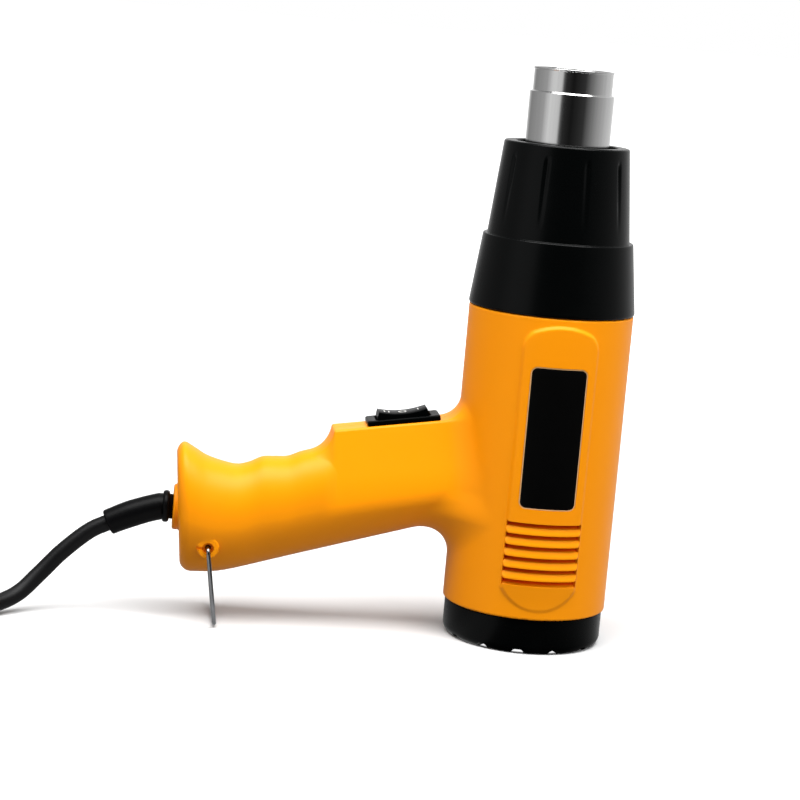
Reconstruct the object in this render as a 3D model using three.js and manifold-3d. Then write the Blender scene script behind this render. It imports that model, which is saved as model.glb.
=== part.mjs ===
// Hot air tool: a pistol-shaped heat gun standing upright on its rear cap.
// Millimetres, +Z up along the barrel, handle towards -X, vent panel and label towards -Y.
// The origin is the centre of the rear cap's flat underside.
import * as THREE from 'three';
import { mergeVertices } from 'three/addons/utils/BufferGeometryUtils.js';
import Module from 'manifold-3d';

const wasm = await Module();
wasm.setup();

// Clearances
const GAP = 0.3;
const SLIP = 0.4;

// Barrel and shell
const CAP_HEIGHT = 15;
const BODY_LENGTH = 126;
const BODY_RADIUS = 34.5;
const WALL = 2.5;
const RIM_CHAMFER = 0.6;

// Handle, measured outwards from the barrel's side and upwards from the barrel's lower rim
const HANDLE_LENGTH = 115;
const HANDLE_HALF_WIDTH = 17;
const BUTT_HALF_WIDTH = 19.8;
const BUTT_WALL = 4;
const BUTT_ROUND = 4.5;
const BUTT_LEAN = 0.09;
const BUTT_UNDERSIDE = 4.1;
const SHOULDER_HEIGHT = 70;
const BUTT_DROP = 11.4;
const UNDERSIDE_ROOT = 33.8;
const UNDERSIDE_SLOPE = 0.3;
const UNDERSIDE_FILLET = 16.5;
const SIDE_FILLET = 8;
const SECTION_POWER = 2.3;
const WAIST_SHARE = 0.47;

// Switch block on top of the handle
const LAND_HEIGHT = 74.1;
const LAND_ANGLE = THREE.MathUtils.degToRad(9);
const LAND_MARGIN = 1.4;
const LAND_CLEARANCE = 0.2;
const BLOCK_FOOT_HALF_WIDTH = 14.5;
const BLOCK_HEIGHT = 24;
const BLOCK_END = 53;
const BLOCK_FILLET = 8.2;

// Side panel with its louvres and label
const PANEL_HALF_WIDTH = 15.6;
const PANEL_RAISE = 1.2;
const PANEL_BOTTOM = 3.6;
const PANEL_FROM_TOP = 3.2;
const PANEL_END_RADIUS = 18;
const LOUVRES = 6;
const LOUVRE_TOP = 41;
const LOUVRE_PITCH = 4.8;
const LOUVRE_HEIGHT = 2;
const LOUVRE_OVERHANG = 0.3;
const LABEL_HALF_WIDTH = 11.9;
const LABEL_ABOVE_LOUVRES = 5.8;
const LABEL_FROM_PANEL_TOP = 16.7;
const LABEL_CORNER = 3;
const LABEL_RECESS = 1;
const LABEL_THICKNESS = 0.5;

// Nose guard and nozzle
const NOSE_COLLAR_LENGTH = 30;
const NOSE_CONE_LENGTH = 39;
const NOSE_OVERHANG = 0.3;
const NOSE_STEP = 1.6;
const CONE_FLARE = 3.6;
const NOSE_RIM = 5;
const NOSE_WALL = 2.2;
const NOSE_ROUND = 2;
const MOUTH_CLEARANCE = 3.7;
const SPIGOT_DEPTH = 8;
const SPIGOT_WALL = 2.4;
const FLUTES = 10;
const FLUTE_TURN = 0.28;
const FLUTE_FROM_RIM = 7.2;
const FLUTE_FROM_STEP = 5;
const FLUTE_DEPTH = 0.8;
const FLUTE_WIDTH = 3;
const NOZZLE_RADIUS = 17.5;
const NOZZLE_STEP = 1.1;
const NOZZLE_WALL = 0.8;
const NOZZLE_REACH = 21;
const NOZZLE_TIP_LENGTH = 9.7;
const NOZZLE_FLANGE_INSET = 1.6;
const NOZZLE_FLANGE_THICKNESS = 1;

// Heater
const MICA_WALL = 0.6;
const CARD_THICKNESS = 0.9;
const COIL_CLEARANCE = 0.85;
const MICA_SETBACK = 7;
const CARD_SETBACK = 4;
const COIL_END_MARGIN = 4;
const HEATER_BASE_THICKNESS = 2;
const HEATER_WIRE_RADIUS = 0.55;
const HEATER_TURNS = 8;
const SPIDER_BAR = 4;

// Fan, motor and duct
const DUCT_HEIGHT = 43.4;
const DUCT_WALL = 2.2;
const DUCT_PLATE = 3;
const DUCT_WINDOWS = 6;
const SHELF_THICKNESS = 3;
const SHELF_WIDTH = 5;
const FAN_CLEARANCE = 1.2;
const FAN_HEIGHT = 12;
const FAN_HUB_RADIUS = 9;
const FAN_BLADES = 7;
const FAN_LIFT = 5;
const BLADE_THICKNESS = 1.2;
const MOTOR_RADIUS = 18;
const MOTOR_LENGTH = 44;
const MOTOR_WALL = 0.9;
const CAN_TOP = 2;
const END_CAP_THICKNESS = 4;
const SHAFT_RADIUS = 1.6;
const BUSH_RADIUS = 4;
const BUSH_LENGTH = 4;
const MAGNET_THICKNESS = 3.4;
const MAGNET_LENGTH = 28;
const AIR_GAP = 0.7;
const ARMATURE_LENGTH = 22;
const POLES = 5;
const COMMUTATOR_RADIUS = 5;
const BRUSH_SIZE = 4;
const BRUSH_LENGTH = 6;
const BOARD_THICKNESS = 1.6;
const MOTOR_SCREW_CIRCLE = 11.5;

// Rear cap
const CAP_INSET = 1;
const CAP_CORNER = 3.1;
const CAP_SPIGOT = 6;
const CAP_ROUND = 3.6;
const CAP_PLATE = 2.6;
const CAP_NOTCHES = 13;
const CAP_NOTCH_WIDTH = 5;
const CAP_NOTCH_HEIGHT = 4;
const CAP_DISC_RADIUS = 15;

// Rocker switch, in the frame of the land
const BEZEL_LIP = 1.9;
const BEZEL_SIDE_LIP = 1;
const BEZEL_THICKNESS = 2;
const BEZEL_EDGE = 0.6;
const SWITCH_LENGTH = 27;
const SWITCH_WIDTH = 12;
const SWITCH_DEPTH = 20;
const ROCKER_END_WALL = 2.3;
const ROCKER_SIDE_WALL = 1.1;
const ROCKER_CROWN = 4;
const ROCKER_HORN = 5.4;
const ROCKER_SKIRT = 2.2;
const ROCKER_WEDGE = 3;
const ROCKER_PIVOT = 0.5;
const ROCKER_PIN_RADIUS = 1;
const ROCKER_THROW = THREE.MathUtils.degToRad(10);
const TERMINAL_PITCH = 7;
const TERMINAL_LENGTH = 8;
const TERMINAL_WIDTH = 4.8;
const TERMINAL_THICKNESS = 1;

// Hanging bail
const BAIL_FROM_BUTT = 13;
const BAIL_PIVOT_HEIGHT = 18.4;
const BAIL_LENGTH = 32.2;
const BAIL_WIRE_RADIUS = 1;
const BAIL_BEND = 2.1;
const BAIL_STANDOFF = 1.2;
const BAIL_BOSS_RADIUS = 4.5;
const BAIL_BOSS_RAISE = 1.2;
const EYE_DEPTH = 6;
const BAIL_SLOT = 1.4;
const BAIL_REST = THREE.MathUtils.degToRad(8.5);

// Screws
const BOSS_RADIUS = 4.6;
const SCREW_RADIUS = 1.4;
const HEAD_RADIUS = 3;
const HEAD_HEIGHT = 2;
const SCREW_LENGTH = 14;
const HANDLE_SEAT = 7;
const BARREL_SEAT = 13;
const BARREL_SCREW_INSET = 8;
const GRIP_SCREW_FROM_BUTT = 43;

// Cord, strain relief and plug
const CORD_DIAMETER = 7;
const BUTT_BOSS_RADIUS = 9.5;
const BUTT_BOSS_RAISE = 2.2;
const RELIEF_NECK_RADIUS = 5.2;
const RELIEF_COLLAR_RADIUS = 6.7;
const RELIEF_COLLAR_LENGTH = 4;
const RELIEF_SLEEVE_RADIUS = 5.6;
const RELIEF_TIP_RADIUS = 5.4;
const RELIEF_REACH = 22.3;
const RELIEF_DROP = 8.6;
const RELIEF_FLANGE_RADIUS = 8;
const RELIEF_FLANGE_THICKNESS = 2.4;
const CLAMP_WIDTH = 8;
const CLAMP_THICKNESS = 3;
const CLAMP_SCREW_PITCH = 15;
const CLAMP_FROM_BUTT = 22;
const INNER_CORD_LENGTH = 24;
const WIRE_RADIUS = 1.1;
const WIRE_BEND = 6;
const WIRE_DIP = 8;
const COIL_TURNS = 5;
const COIL_INNER_RADIUS = 28;
const COIL_PITCH = CORD_DIAMETER + 0.6;
const COIL_X = -279;
const COIL_Y = 0;
const TIE_WIDTH = 9;
const TIE_THICKNESS = 0.8;
const TIE_SLACK = 2;
const PLUG_HALF_HEIGHT = 11;
const PLUG_HALF_WIDTH = 15.5;
const PLUG_LENGTH = 36;
const PLUG_NECK_RADIUS = 4.8;
const PIN_RADIUS = 2.4;
const PIN_LENGTH = 19;
const PIN_PITCH = 19;

// Heights and radii that follow from the sizes above
const bodyBottom = CAP_HEIGHT;
const bodyTop = bodyBottom + BODY_LENGTH;
const cordExitHeight = (BUTT_UNDERSIDE + SHOULDER_HEIGHT - BUTT_DROP) / 2;
const boreRadius = BODY_RADIUS - WALL;
const fitRadius = boreRadius - SLIP;
const noseBaseRadius = BODY_RADIUS + NOSE_OVERHANG;
const noseMouthRadius = NOZZLE_RADIUS + MOUTH_CLEARANCE;
const coneTopRadius = noseMouthRadius + NOSE_RIM;
const coneBaseRadius = coneTopRadius + CONE_FLARE;
const noseStepRadius = coneBaseRadius + NOSE_STEP;
const noseStepZ = bodyTop + NOSE_COLLAR_LENGTH;
const noseTop = noseStepZ + NOSE_CONE_LENGTH;
const nozzleStep = noseTop + NOZZLE_REACH;
const nozzleTop = nozzleStep + NOZZLE_TIP_LENGTH;
const flangeTop = bodyTop - SPIGOT_DEPTH - GAP;
const flangeBottom = flangeTop - NOZZLE_FLANGE_THICKNESS;
const ductTop = flangeBottom - GAP;
const ductBottom = ductTop - DUCT_HEIGHT;
const motorTop = ductBottom - GAP;
const motorBottom = motorTop - MOTOR_LENGTH;
const fanRadius = fitRadius - DUCT_WALL - FAN_CLEARANCE;
const fanBottom = ductBottom + DUCT_PLATE + FAN_LIFT;
const magnetRadius = MOTOR_RADIUS - MOTOR_WALL - GAP;
const armatureRadius = magnetRadius - MAGNET_THICKNESS - AIR_GAP;
const micaRadius = NOZZLE_RADIUS - NOZZLE_WALL - SLIP;
const heaterCoilRadius = micaRadius - MICA_WALL - COIL_CLEARANCE - HEATER_WIRE_RADIUS;
const cardHalfWidth = heaterCoilRadius - HEATER_WIRE_RADIUS - COIL_CLEARANCE;
const heaterFloor = ductTop + GAP + HEATER_BASE_THICKNESS + GAP;
const micaTop = nozzleStep - MICA_SETBACK;
const capRadius = BODY_RADIUS - CAP_INSET;
const bezelLength = SWITCH_LENGTH + 2 * BEZEL_LIP;
const bezelWidth = SWITCH_WIDTH + 2 * BEZEL_SIDE_LIP;
const rockerRadius = SWITCH_LENGTH / 2 - ROCKER_END_WALL;
const rockerWidth = SWITCH_WIDTH - 2 * ROCKER_SIDE_WALL;
const landCentre = BLOCK_FILLET + LAND_CLEARANCE + bezelLength / 2;
const landHalfWidth = bezelWidth / 2 + LAND_MARGIN;
const panelTop = BODY_LENGTH - PANEL_FROM_TOP;
const labelBottom = LOUVRE_TOP + LABEL_ABOVE_LOUVRES;
const labelTop = panelTop - LABEL_FROM_PANEL_TOP;
const bailAlong = HANDLE_LENGTH - BAIL_FROM_BUTT;

// Places on the handle: along is the distance out from the barrel, up the height above its rim
const handleX = along => -BODY_RADIUS - along;
const handleZ = up => bodyBottom + up;

// Finishes
const orange = { color: 0xf5a010, roughness: 0.38, metalness: 0 };
const black = { color: 0x0c0d0d, roughness: 0.5, metalness: 0 };
const rubber = { color: 0x0b0b0b, roughness: 0.75, metalness: 0 };
const steel = { color: 0xc4c4c2, roughness: 0.25, metalness: 1 };
const mica = { color: 0xcdbf9c, roughness: 0.6, metalness: 0 };
const nichrome = { color: 0x7c746c, roughness: 0.4, metalness: 1 };
const brass = { color: 0xc79a45, roughness: 0.35, metalness: 1 };
const greyPlastic = { color: 0x55585a, roughness: 0.6, metalness: 0 };
const ferrite = { color: 0x2c2b2a, roughness: 0.8, metalness: 0 };
const boardGreen = { color: 0x1f5a35, roughness: 0.5, metalness: 0 };
const blueWire = { color: 0x2456a8, roughness: 0.5, metalness: 0 };
const brownWire = { color: 0x6b3a1c, roughness: 0.5, metalness: 0 };
const redWire = { color: 0xa82420, roughness: 0.5, metalness: 0 };

const tool = new THREE.Group();

// Solid of a closed geometry, with shared corners merged and faces turned outwards
function solid(geometry) {
  geometry.deleteAttribute('normal');
  geometry.deleteAttribute('uv');
  const merged = mergeVertices(geometry, 1e-4);
  const place = merged.attributes.position;
  const corner = i => new THREE.Vector3().fromBufferAttribute(place, i);
  const triangles = [];
  let volume = 0;
  for (let i = 0; i < merged.index.count; i += 3) {
    const [a, b, c] = [0, 1, 2].map(k => merged.index.getX(i + k));
    if (a === b || b === c || c === a) continue;
    triangles.push([a, b, c]);
    volume += corner(a).dot(corner(b).cross(corner(c)));
  }
  if (volume < 0) triangles.forEach(t => t.reverse());
  const triVerts = new Uint32Array(triangles.flat());
  const vertProperties = new Float32Array(place.array);
  return new wasm.Manifold(new wasm.Mesh({ numProp: 3, vertProperties, triVerts }));
}

// Named mesh of a solid, hung on the tool or on a turned group
function piece(name, body, finish, parent = tool) {
  const mesh = body.getMesh();
  const geometry = new THREE.BufferGeometry();
  geometry.setAttribute('position', new THREE.BufferAttribute(mesh.vertProperties, 3));
  geometry.setIndex(new THREE.BufferAttribute(mesh.triVerts, 1));
  geometry.computeVertexNormals();
  const made = new THREE.Mesh(geometry, new THREE.MeshStandardMaterial(finish));
  made.name = name;
  parent.add(made);
}

const joined = bodies => bodies.reduce((sum, body) => sum.add(body));

// Box between two corners, turned about Z
function box(x0, x1, y0, y1, z0, z1, turn = 0) {
  const block = new THREE.BoxGeometry(x1 - x0, y1 - y0, z1 - z0);
  return solid(block.translate((x0 + x1) / 2, (y0 + y1) / 2, (z0 + z1) / 2).rotateZ(turn));
}

// Round bar between two points
function rod(radius, from, to, sides = 10) {
  const run = new THREE.Vector3().subVectors(to, from);
  const bar = new THREE.CylinderGeometry(radius, radius, run.length(), sides);
  const turn = new THREE.Quaternion().setFromUnitVectors(new THREE.Vector3(0, 1, 0), run.clone().normalize());
  bar.applyQuaternion(turn);
  const middle = new THREE.Vector3().addVectors(from, to).multiplyScalar(0.5);
  return solid(bar.translate(middle.x, middle.y, middle.z));
}

const at = (x, y, z) => new THREE.Vector3(x, y, z);

// Turned solid about Z from a closed profile of [radius, height] corners
function turned(profile, sides = 36) {
  const corners = profile.map(([r, z]) => new THREE.Vector2(r, z));
  const onAxis = profile[0][0] === 0 && profile[profile.length - 1][0] === 0;
  if (!onAxis) corners.push(corners[0].clone());
  return solid(new THREE.LatheGeometry(corners, sides).rotateX(Math.PI / 2));
}

const tube = (outer, inner, z0, z1, sides) =>
  turned([[inner, z0], [outer, z0], [outer, z1], [inner, z1]], sides);

const disc = (radius, z0, z1, sides) => turned([[0, z0], [radius, z0], [radius, z1], [0, z1]], sides);

// Plate of an outline drawn in X and Z, running from y0 up to y1
function plateAlongY(outline, y0, y1) {
  const plate = new THREE.ExtrudeGeometry(outline, { depth: y1 - y0, bevelEnabled: false, curveSegments: 8 });
  return solid(plate.rotateX(Math.PI / 2).translate(0, y1, 0));
}

// Plate of an outline drawn in X and Y, running from z0 up to z1
function plateAlongZ(outline, z0, z1, curveSegments = 12) {
  const plate = new THREE.ExtrudeGeometry(outline, { depth: z1 - z0, bevelEnabled: false, curveSegments });
  return solid(plate.translate(0, 0, z0));
}

// Closed skin over rings of points, all with the same count, capped flat at both ends
function loft(rings) {
  const count = rings[0].length;
  const places = rings.flat();
  const faces = [];
  for (let i = 0; i + 1 < rings.length; i++) {
    for (let j = 0; j < count; j++) {
      const [a, b] = [i * count + j, i * count + (j + 1) % count];
      faces.push(a, b, b + count, a, b + count, a + count);
    }
  }
  for (const [ring, first] of [[rings[0], 0], [rings.at(-1), (rings.length - 1) * count]]) {
    const middle = ring.reduce((sum, p) => sum.add(p), new THREE.Vector3()).divideScalar(count);
    places.push(middle);
    for (let j = 0; j < count; j++) {
      const [a, b] = [first + j, first + (j + 1) % count];
      faces.push(...(first === 0 ? [b, a, places.length - 1] : [a, b, places.length - 1]));
    }
  }
  const skin = new THREE.BufferGeometry().setFromPoints(places);
  skin.setIndex(faces);
  return solid(skin);
}

// Round skin along a path; each station gives a point, the path's heading there and a radius
function roundLoft(stations, sides) {
  const first = stations[0].heading;
  let side = Math.abs(first.y) > 0.7 ? at(1, 0, 0) : at(0, 1, 0);
  return loft(stations.map(({ point, heading, radius }) => {
    side = side.clone().addScaledVector(heading, -side.dot(heading)).normalize();
    const up = new THREE.Vector3().crossVectors(heading, side);
    return Array.from({ length: sides }, (_, k) => {
      const turn = 2 * Math.PI * k / sides;
      const spoke = side.clone().multiplyScalar(Math.cos(turn)).addScaledVector(up, Math.sin(turn));
      return point.clone().addScaledVector(spoke, radius);
    });
  }));
}

// Stations of even radius through a row of points
function stationsThrough(points, radius) {
  return points.map((point, i) => {
    const before = points[Math.max(i - 1, 0)];
    const after = points[Math.min(i + 1, points.length - 1)];
    return { point, heading: new THREE.Vector3().subVectors(after, before).normalize(), radius };
  });
}

// Free-hanging cord: a round section swept along a smooth curve
function cordTube(curve, steps, sides = 10) {
  const section = new THREE.Shape(Array.from({ length: sides }, (_, k) => {
    const turn = 2 * Math.PI * k / sides;
    return new THREE.Vector2(Math.cos(turn), Math.sin(turn)).multiplyScalar(CORD_DIAMETER / 2);
  }));
  return solid(new THREE.ExtrudeGeometry(section, { steps, extrudePath: curve, bevelEnabled: false }));
}

// Smooth function through [place, value] pairs
function curveThrough(pairs) {
  const last = pairs.length - 1;
  const slope = i => {
    const [before, after] = [pairs[Math.max(i - 1, 0)], pairs[Math.min(i + 1, last)]];
    return (after[1] - before[1]) / (after[0] - before[0]);
  };
  return place => {
    if (place <= pairs[0][0]) return pairs[0][1];
    if (place >= pairs[last][0]) return pairs[last][1];
    const i = pairs.findIndex(pair => pair[0] > place) - 1;
    const span = pairs[i + 1][0] - pairs[i][0];
    const t = (place - pairs[i][0]) / span;
    const bend = t * (1 - t) * span * (slope(i) * (1 - t) - slope(i + 1) * t);
    const ease = t * t * (3 - 2 * t);
    return pairs[i][1] * (1 - ease) + pairs[i + 1][1] * ease + bend;
  };
}

// Rise of a concave quarter-round of the given radius, met at distance from its foot
function filletRise(distance, radius) {
  if (distance >= radius) return 0;
  const across = radius - Math.max(distance, 0);
  return radius - Math.sqrt(radius * radius - across * across);
}

// Handle outlines along its length; the grip's two finger hollows lie at shares of its run to the butt
const gripLength = HANDLE_LENGTH - BLOCK_END;
const fingerHollows = [
  [0.05, -7], [0.12, -10.1], [0.2, -12], [0.28, -14.2], [0.365, -14.7], [0.445, -15.2], [0.525, -17.7],
  [0.6, -19], [0.685, -18.3], [0.805, -16], [0.89, -12.8], [0.95, -10.9], [1, -BUTT_DROP],
];
const gripTop = curveThrough([
  [0, SHOULDER_HEIGHT], [0.4 * BLOCK_END, SHOULDER_HEIGHT - 2], [0.85 * BLOCK_END, SHOULDER_HEIGHT - 5],
  ...fingerHollows.map(([share, drop]) => [BLOCK_END + share * gripLength, SHOULDER_HEIGHT + drop]),
]);
const handleTop = along => gripTop(along) + filletRise(along, SIDE_FILLET);
const straightUnderside = along => UNDERSIDE_ROOT - UNDERSIDE_SLOPE * along;
const handleBottom = along =>
  Math.max(straightUnderside(along), BUTT_UNDERSIDE) - filletRise(along, UNDERSIDE_FILLET);
const buttSwell = share => THREE.MathUtils.lerp(HANDLE_HALF_WIDTH, BUTT_HALF_WIDTH, share);
const gripHalfWidth = curveThrough([
  [0, buttSwell(0)], [BLOCK_END, buttSwell(0)], [HANDLE_LENGTH - 35, buttSwell(0)],
  [HANDLE_LENGTH - 20, buttSwell(0.36)], [HANDLE_LENGTH - 9, buttSwell(0.93)], [HANDLE_LENGTH, buttSwell(1)],
]);
const sideFlare = along => filletRise(SIDE_FILLET + along, SIDE_FILLET);
const handleHalfWidth = along => gripHalfWidth(along) + Math.min(sideFlare(along), SIDE_FILLET / 2);
const leanShare = along => THREE.MathUtils.smoothstep(along, HANDLE_LENGTH / 2, HANDLE_LENGTH);

// Ring of the handle's oval section, drawn in by inset all round
function handleRing(along, inset, count = 20) {
  const top = handleTop(along) - inset;
  const bottom = handleBottom(along) + inset;
  const half = handleHalfWidth(along) - inset;
  const waist = bottom + (top - bottom) * WAIST_SHARE;
  const lean = BUTT_LEAN * leanShare(along);
  return Array.from({ length: count }, (_, k) => {
    const turn = 2 * Math.PI * k / count;
    const [across, upward] = [Math.sin(turn), Math.cos(turn)];
    const swell = value => Math.sign(value) * Math.abs(value) ** (2 / SECTION_POWER);
    const up = waist + swell(upward) * (upward > 0 ? top - waist : waist - bottom);
    return at(handleX(along) - lean * (up - cordExitHeight), half * swell(across), handleZ(up));
  });
}

// How far out the handle's side lies at a height on its section
function handleSideAt(along, up) {
  const [top, bottom] = [handleTop(along), handleBottom(along)];
  const waist = bottom + (top - bottom) * WAIST_SHARE;
  const share = Math.abs(up - waist) / (up > waist ? top - waist : waist - bottom);
  return handleHalfWidth(along) * (1 - share ** SECTION_POWER) ** (1 / SECTION_POWER);
}

// Handle outside: an even run of rings, then the rounded edge of the butt
function handleOutside() {
  const rootShares = [-0.72, -0.4, -0.24, -0.09, 0.025, 0.1, 0.23, 0.42, 0.67, 1];
  const rings = rootShares.map(share => handleRing(share * UNDERSIDE_FILLET, 0));
  rings.push(handleRing((UNDERSIDE_FILLET + BLOCK_END) / 2, 0));
  const steps = 15;
  const gripRun = HANDLE_LENGTH - BUTT_ROUND - BLOCK_END;
  for (let i = 0; i < steps; i++) rings.push(handleRing(BLOCK_END + gripRun * i / steps, 0));
  for (let turn = 0; turn <= 90; turn += 30) {
    const angle = THREE.MathUtils.degToRad(turn);
    const along = HANDLE_LENGTH - BUTT_ROUND * (1 - Math.sin(angle));
    rings.push(handleRing(along, BUTT_ROUND * (1 - Math.cos(angle))));
  }
  return loft(rings);
}

function handleCavity() {
  const places = [-0.72, -0.2, 0.06, 0.3, 1].map(share => share * UNDERSIDE_FILLET);
  const steps = 6;
  const gripRun = HANDLE_LENGTH - BUTT_WALL - BLOCK_END;
  for (let i = 0; i <= steps; i++) places.push(BLOCK_END + gripRun * i / steps);
  return loft(places.map(along => handleRing(along, WALL, 12)));
}

// Switch block: a raised land with sloping sides, running into the barrel on a fillet
const landAt = along => LAND_HEIGHT + (landCentre - along) * Math.tan(LAND_ANGLE);

function blockRing(along, inset) {
  const top = landAt(along) + filletRise(along, BLOCK_FILLET) - inset;
  const foot = landAt(along) - BLOCK_HEIGHT;
  const [crown, base] = [landHalfWidth - inset, BLOCK_FOOT_HALF_WIDTH - inset];
  const right = [[crown - 1, top], [crown, top - 1], [base, foot + 2], [base, foot]];
  const left = right.map(([y, z]) => [-y, z]).reverse();
  return [...right, ...left].map(([y, up]) => at(handleX(along), y, handleZ(up)));
}

const blockPlaces = [-1, 0, 0.05, 0.15, 0.32, 0.55, 0.85, 1].map(share => share * BLOCK_FILLET);
const switchBlock = () => loft([
  ...blockPlaces.map(along => blockRing(along, 0)), blockRing(BLOCK_END - 1, 0), blockRing(BLOCK_END, 1),
]);
const cavityPlaces = [...[-1, 0, 0.6, 1].map(share => share * BLOCK_FILLET), BLOCK_END - WALL];
const blockCavity = () => loft(cavityPlaces.map(along => blockRing(along, WALL)));

// Outline of the side panel: straight sides between two arched ends
function panelOutline() {
  const sweep = Math.asin(PANEL_HALF_WIDTH / PANEL_END_RADIUS);
  const outline = new THREE.Shape();
  const low = handleZ(PANEL_BOTTOM) + PANEL_END_RADIUS;
  const high = handleZ(panelTop) - PANEL_END_RADIUS;
  outline.absarc(0, low, PANEL_END_RADIUS, -Math.PI / 2 - sweep, -Math.PI / 2 + sweep);
  outline.absarc(0, high, PANEL_END_RADIUS, Math.PI / 2 - sweep, Math.PI / 2 + sweep);
  return outline;
}

function labelOutline(inset) {
  const [half, round] = [LABEL_HALF_WIDTH - inset, LABEL_CORNER - inset];
  const [low, high] = [handleZ(labelBottom) + inset, handleZ(labelTop) - inset];
  const outline = new THREE.Shape();
  outline.absarc(half - round, low + round, round, -Math.PI / 2, 0);
  outline.absarc(half - round, high - round, round, 0, Math.PI / 2);
  outline.absarc(round - half, high - round, round, Math.PI / 2, Math.PI);
  outline.absarc(round - half, low + round, round, Math.PI, 1.5 * Math.PI);
  return outline;
}

// Raised panel on one side, and the louvre slots through it
function sidePanel(side) {
  const reach = [side * BODY_RADIUS * 0.5, side * BODY_RADIUS * 1.5].sort((a, b) => a - b);
  const around = disc(BODY_RADIUS + PANEL_RAISE, bodyBottom, bodyTop);
  return plateAlongY(panelOutline(), ...reach).intersect(around);
}

function louvreSlots(side) {
  const half = PANEL_HALF_WIDTH + LOUVRE_OVERHANG;
  const inside = Math.sqrt(boreRadius ** 2 - half ** 2) - GAP;
  const reach = [side * inside, side * (BODY_RADIUS + 2 * PANEL_RAISE)].sort((a, b) => a - b);
  return joined(Array.from({ length: LOUVRES }, (_, k) => {
    const top = handleZ(LOUVRE_TOP - k * LOUVRE_PITCH);
    return box(-half, half, ...reach, top - LOUVRE_HEIGHT, top);
  }));
}

function labelRecess() {
  const floor = disc(BODY_RADIUS + PANEL_RAISE - LABEL_RECESS, bodyBottom, bodyTop);
  return plateAlongY(labelOutline(0), -BODY_RADIUS * 1.5, -BODY_RADIUS * 0.5).subtract(floor);
}

// Five self-tapping screws hold the halves together, heads in wells on the right half
const barrelScrewX = BODY_RADIUS - BARREL_SCREW_INSET;
const shelfBottom = ductBottom - GAP - SHELF_THICKNESS;
const inHandle = (along, up) => ({ x: handleX(along), z: handleZ(up), seat: HANDLE_SEAT });
const inBarrel = z => ({ x: barrelScrewX, z, seat: BARREL_SEAT });
const buttScrew = HANDLE_LENGTH - 2 * BOSS_RADIUS;
const gripScrew = HANDLE_LENGTH - GRIP_SCREW_FROM_BUTT;
const blockScrew = BLOCK_END - BOSS_RADIUS;
const housingScrews = [
  inHandle(buttScrew, handleTop(buttScrew) - 1.8 * BOSS_RADIUS),
  inHandle(gripScrew, handleBottom(gripScrew) + 1.8 * BOSS_RADIUS),
  inHandle(blockScrew, landAt(blockScrew) - 3.7 * BOSS_RADIUS),
  inBarrel(bodyBottom + CAP_SPIGOT + 1.3 * BOSS_RADIUS),
  inBarrel(shelfBottom - 2 * BOSS_RADIUS),
];
const clampScrewHeights = [-1, 1].map(side => handleZ(cordExitHeight) + side * CLAMP_SCREW_PITCH / 2);
const clampX = handleX(HANDLE_LENGTH - CLAMP_FROM_BUTT);
const bailX = handleX(bailAlong);
const bailZ = handleZ(BAIL_PIVOT_HEIGHT);
const bailBossReach = handleSideAt(bailAlong, BAIL_PIVOT_HEIGHT) + BAIL_BOSS_RAISE;
const bailLegY = bailBossReach + BAIL_STANDOFF + BAIL_WIRE_RADIUS;
const faceX = handleX(HANDLE_LENGTH);

// Whole clamshell before it is parted, with its bosses, ribs and wells
function housing() {
  const far = BODY_RADIUS * 1.5;
  const barrel = turned([
    [0, bodyBottom], [BODY_RADIUS - RIM_CHAMFER, bodyBottom], [BODY_RADIUS, bodyBottom + RIM_CHAMFER],
    [BODY_RADIUS, bodyTop], [0, bodyTop],
  ]);
  const cordHeight = handleZ(cordExitHeight);
  const onCord = x => at(x, 0, cordHeight);
  const buttBoss = rod(BUTT_BOSS_RADIUS, onCord(faceX + BUTT_WALL), onCord(faceX - BUTT_BOSS_RAISE), 20);
  const outside = joined([barrel, handleOutside(), switchBlock(), sidePanel(-1), sidePanel(1), buttBoss]);
  const bore = disc(boreRadius, bodyBottom - 1, bodyTop + 1);
  let shell = outside.subtract(joined([bore, handleCavity(), blockCavity()]));
  const shelfTop = shelfBottom + SHELF_THICKNESS;
  const shelf = tube(boreRadius + WALL / 2, boreRadius - SHELF_WIDTH, shelfBottom, shelfTop);
  const bosses = housingScrews.map(({ x, z }) => rod(BOSS_RADIUS, at(x, -far, z), at(x, far, z)));
  bosses.push(...clampScrewHeights.map(z => rod(BOSS_RADIUS - 1, at(clampX, -far, z), at(clampX, 0, z))));
  shell = shell.add(joined([shelf, ...bosses]).intersect(outside));
  for (const side of [-1, 1]) {
    const onPivot = y => at(bailX, side * y, bailZ);
    shell = shell.add(rod(BAIL_BOSS_RADIUS, onPivot(bailBossReach - EYE_DEPTH), onPivot(bailBossReach), 14));
  }
  return shell.subtract(housingCuts(far));
}

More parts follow.
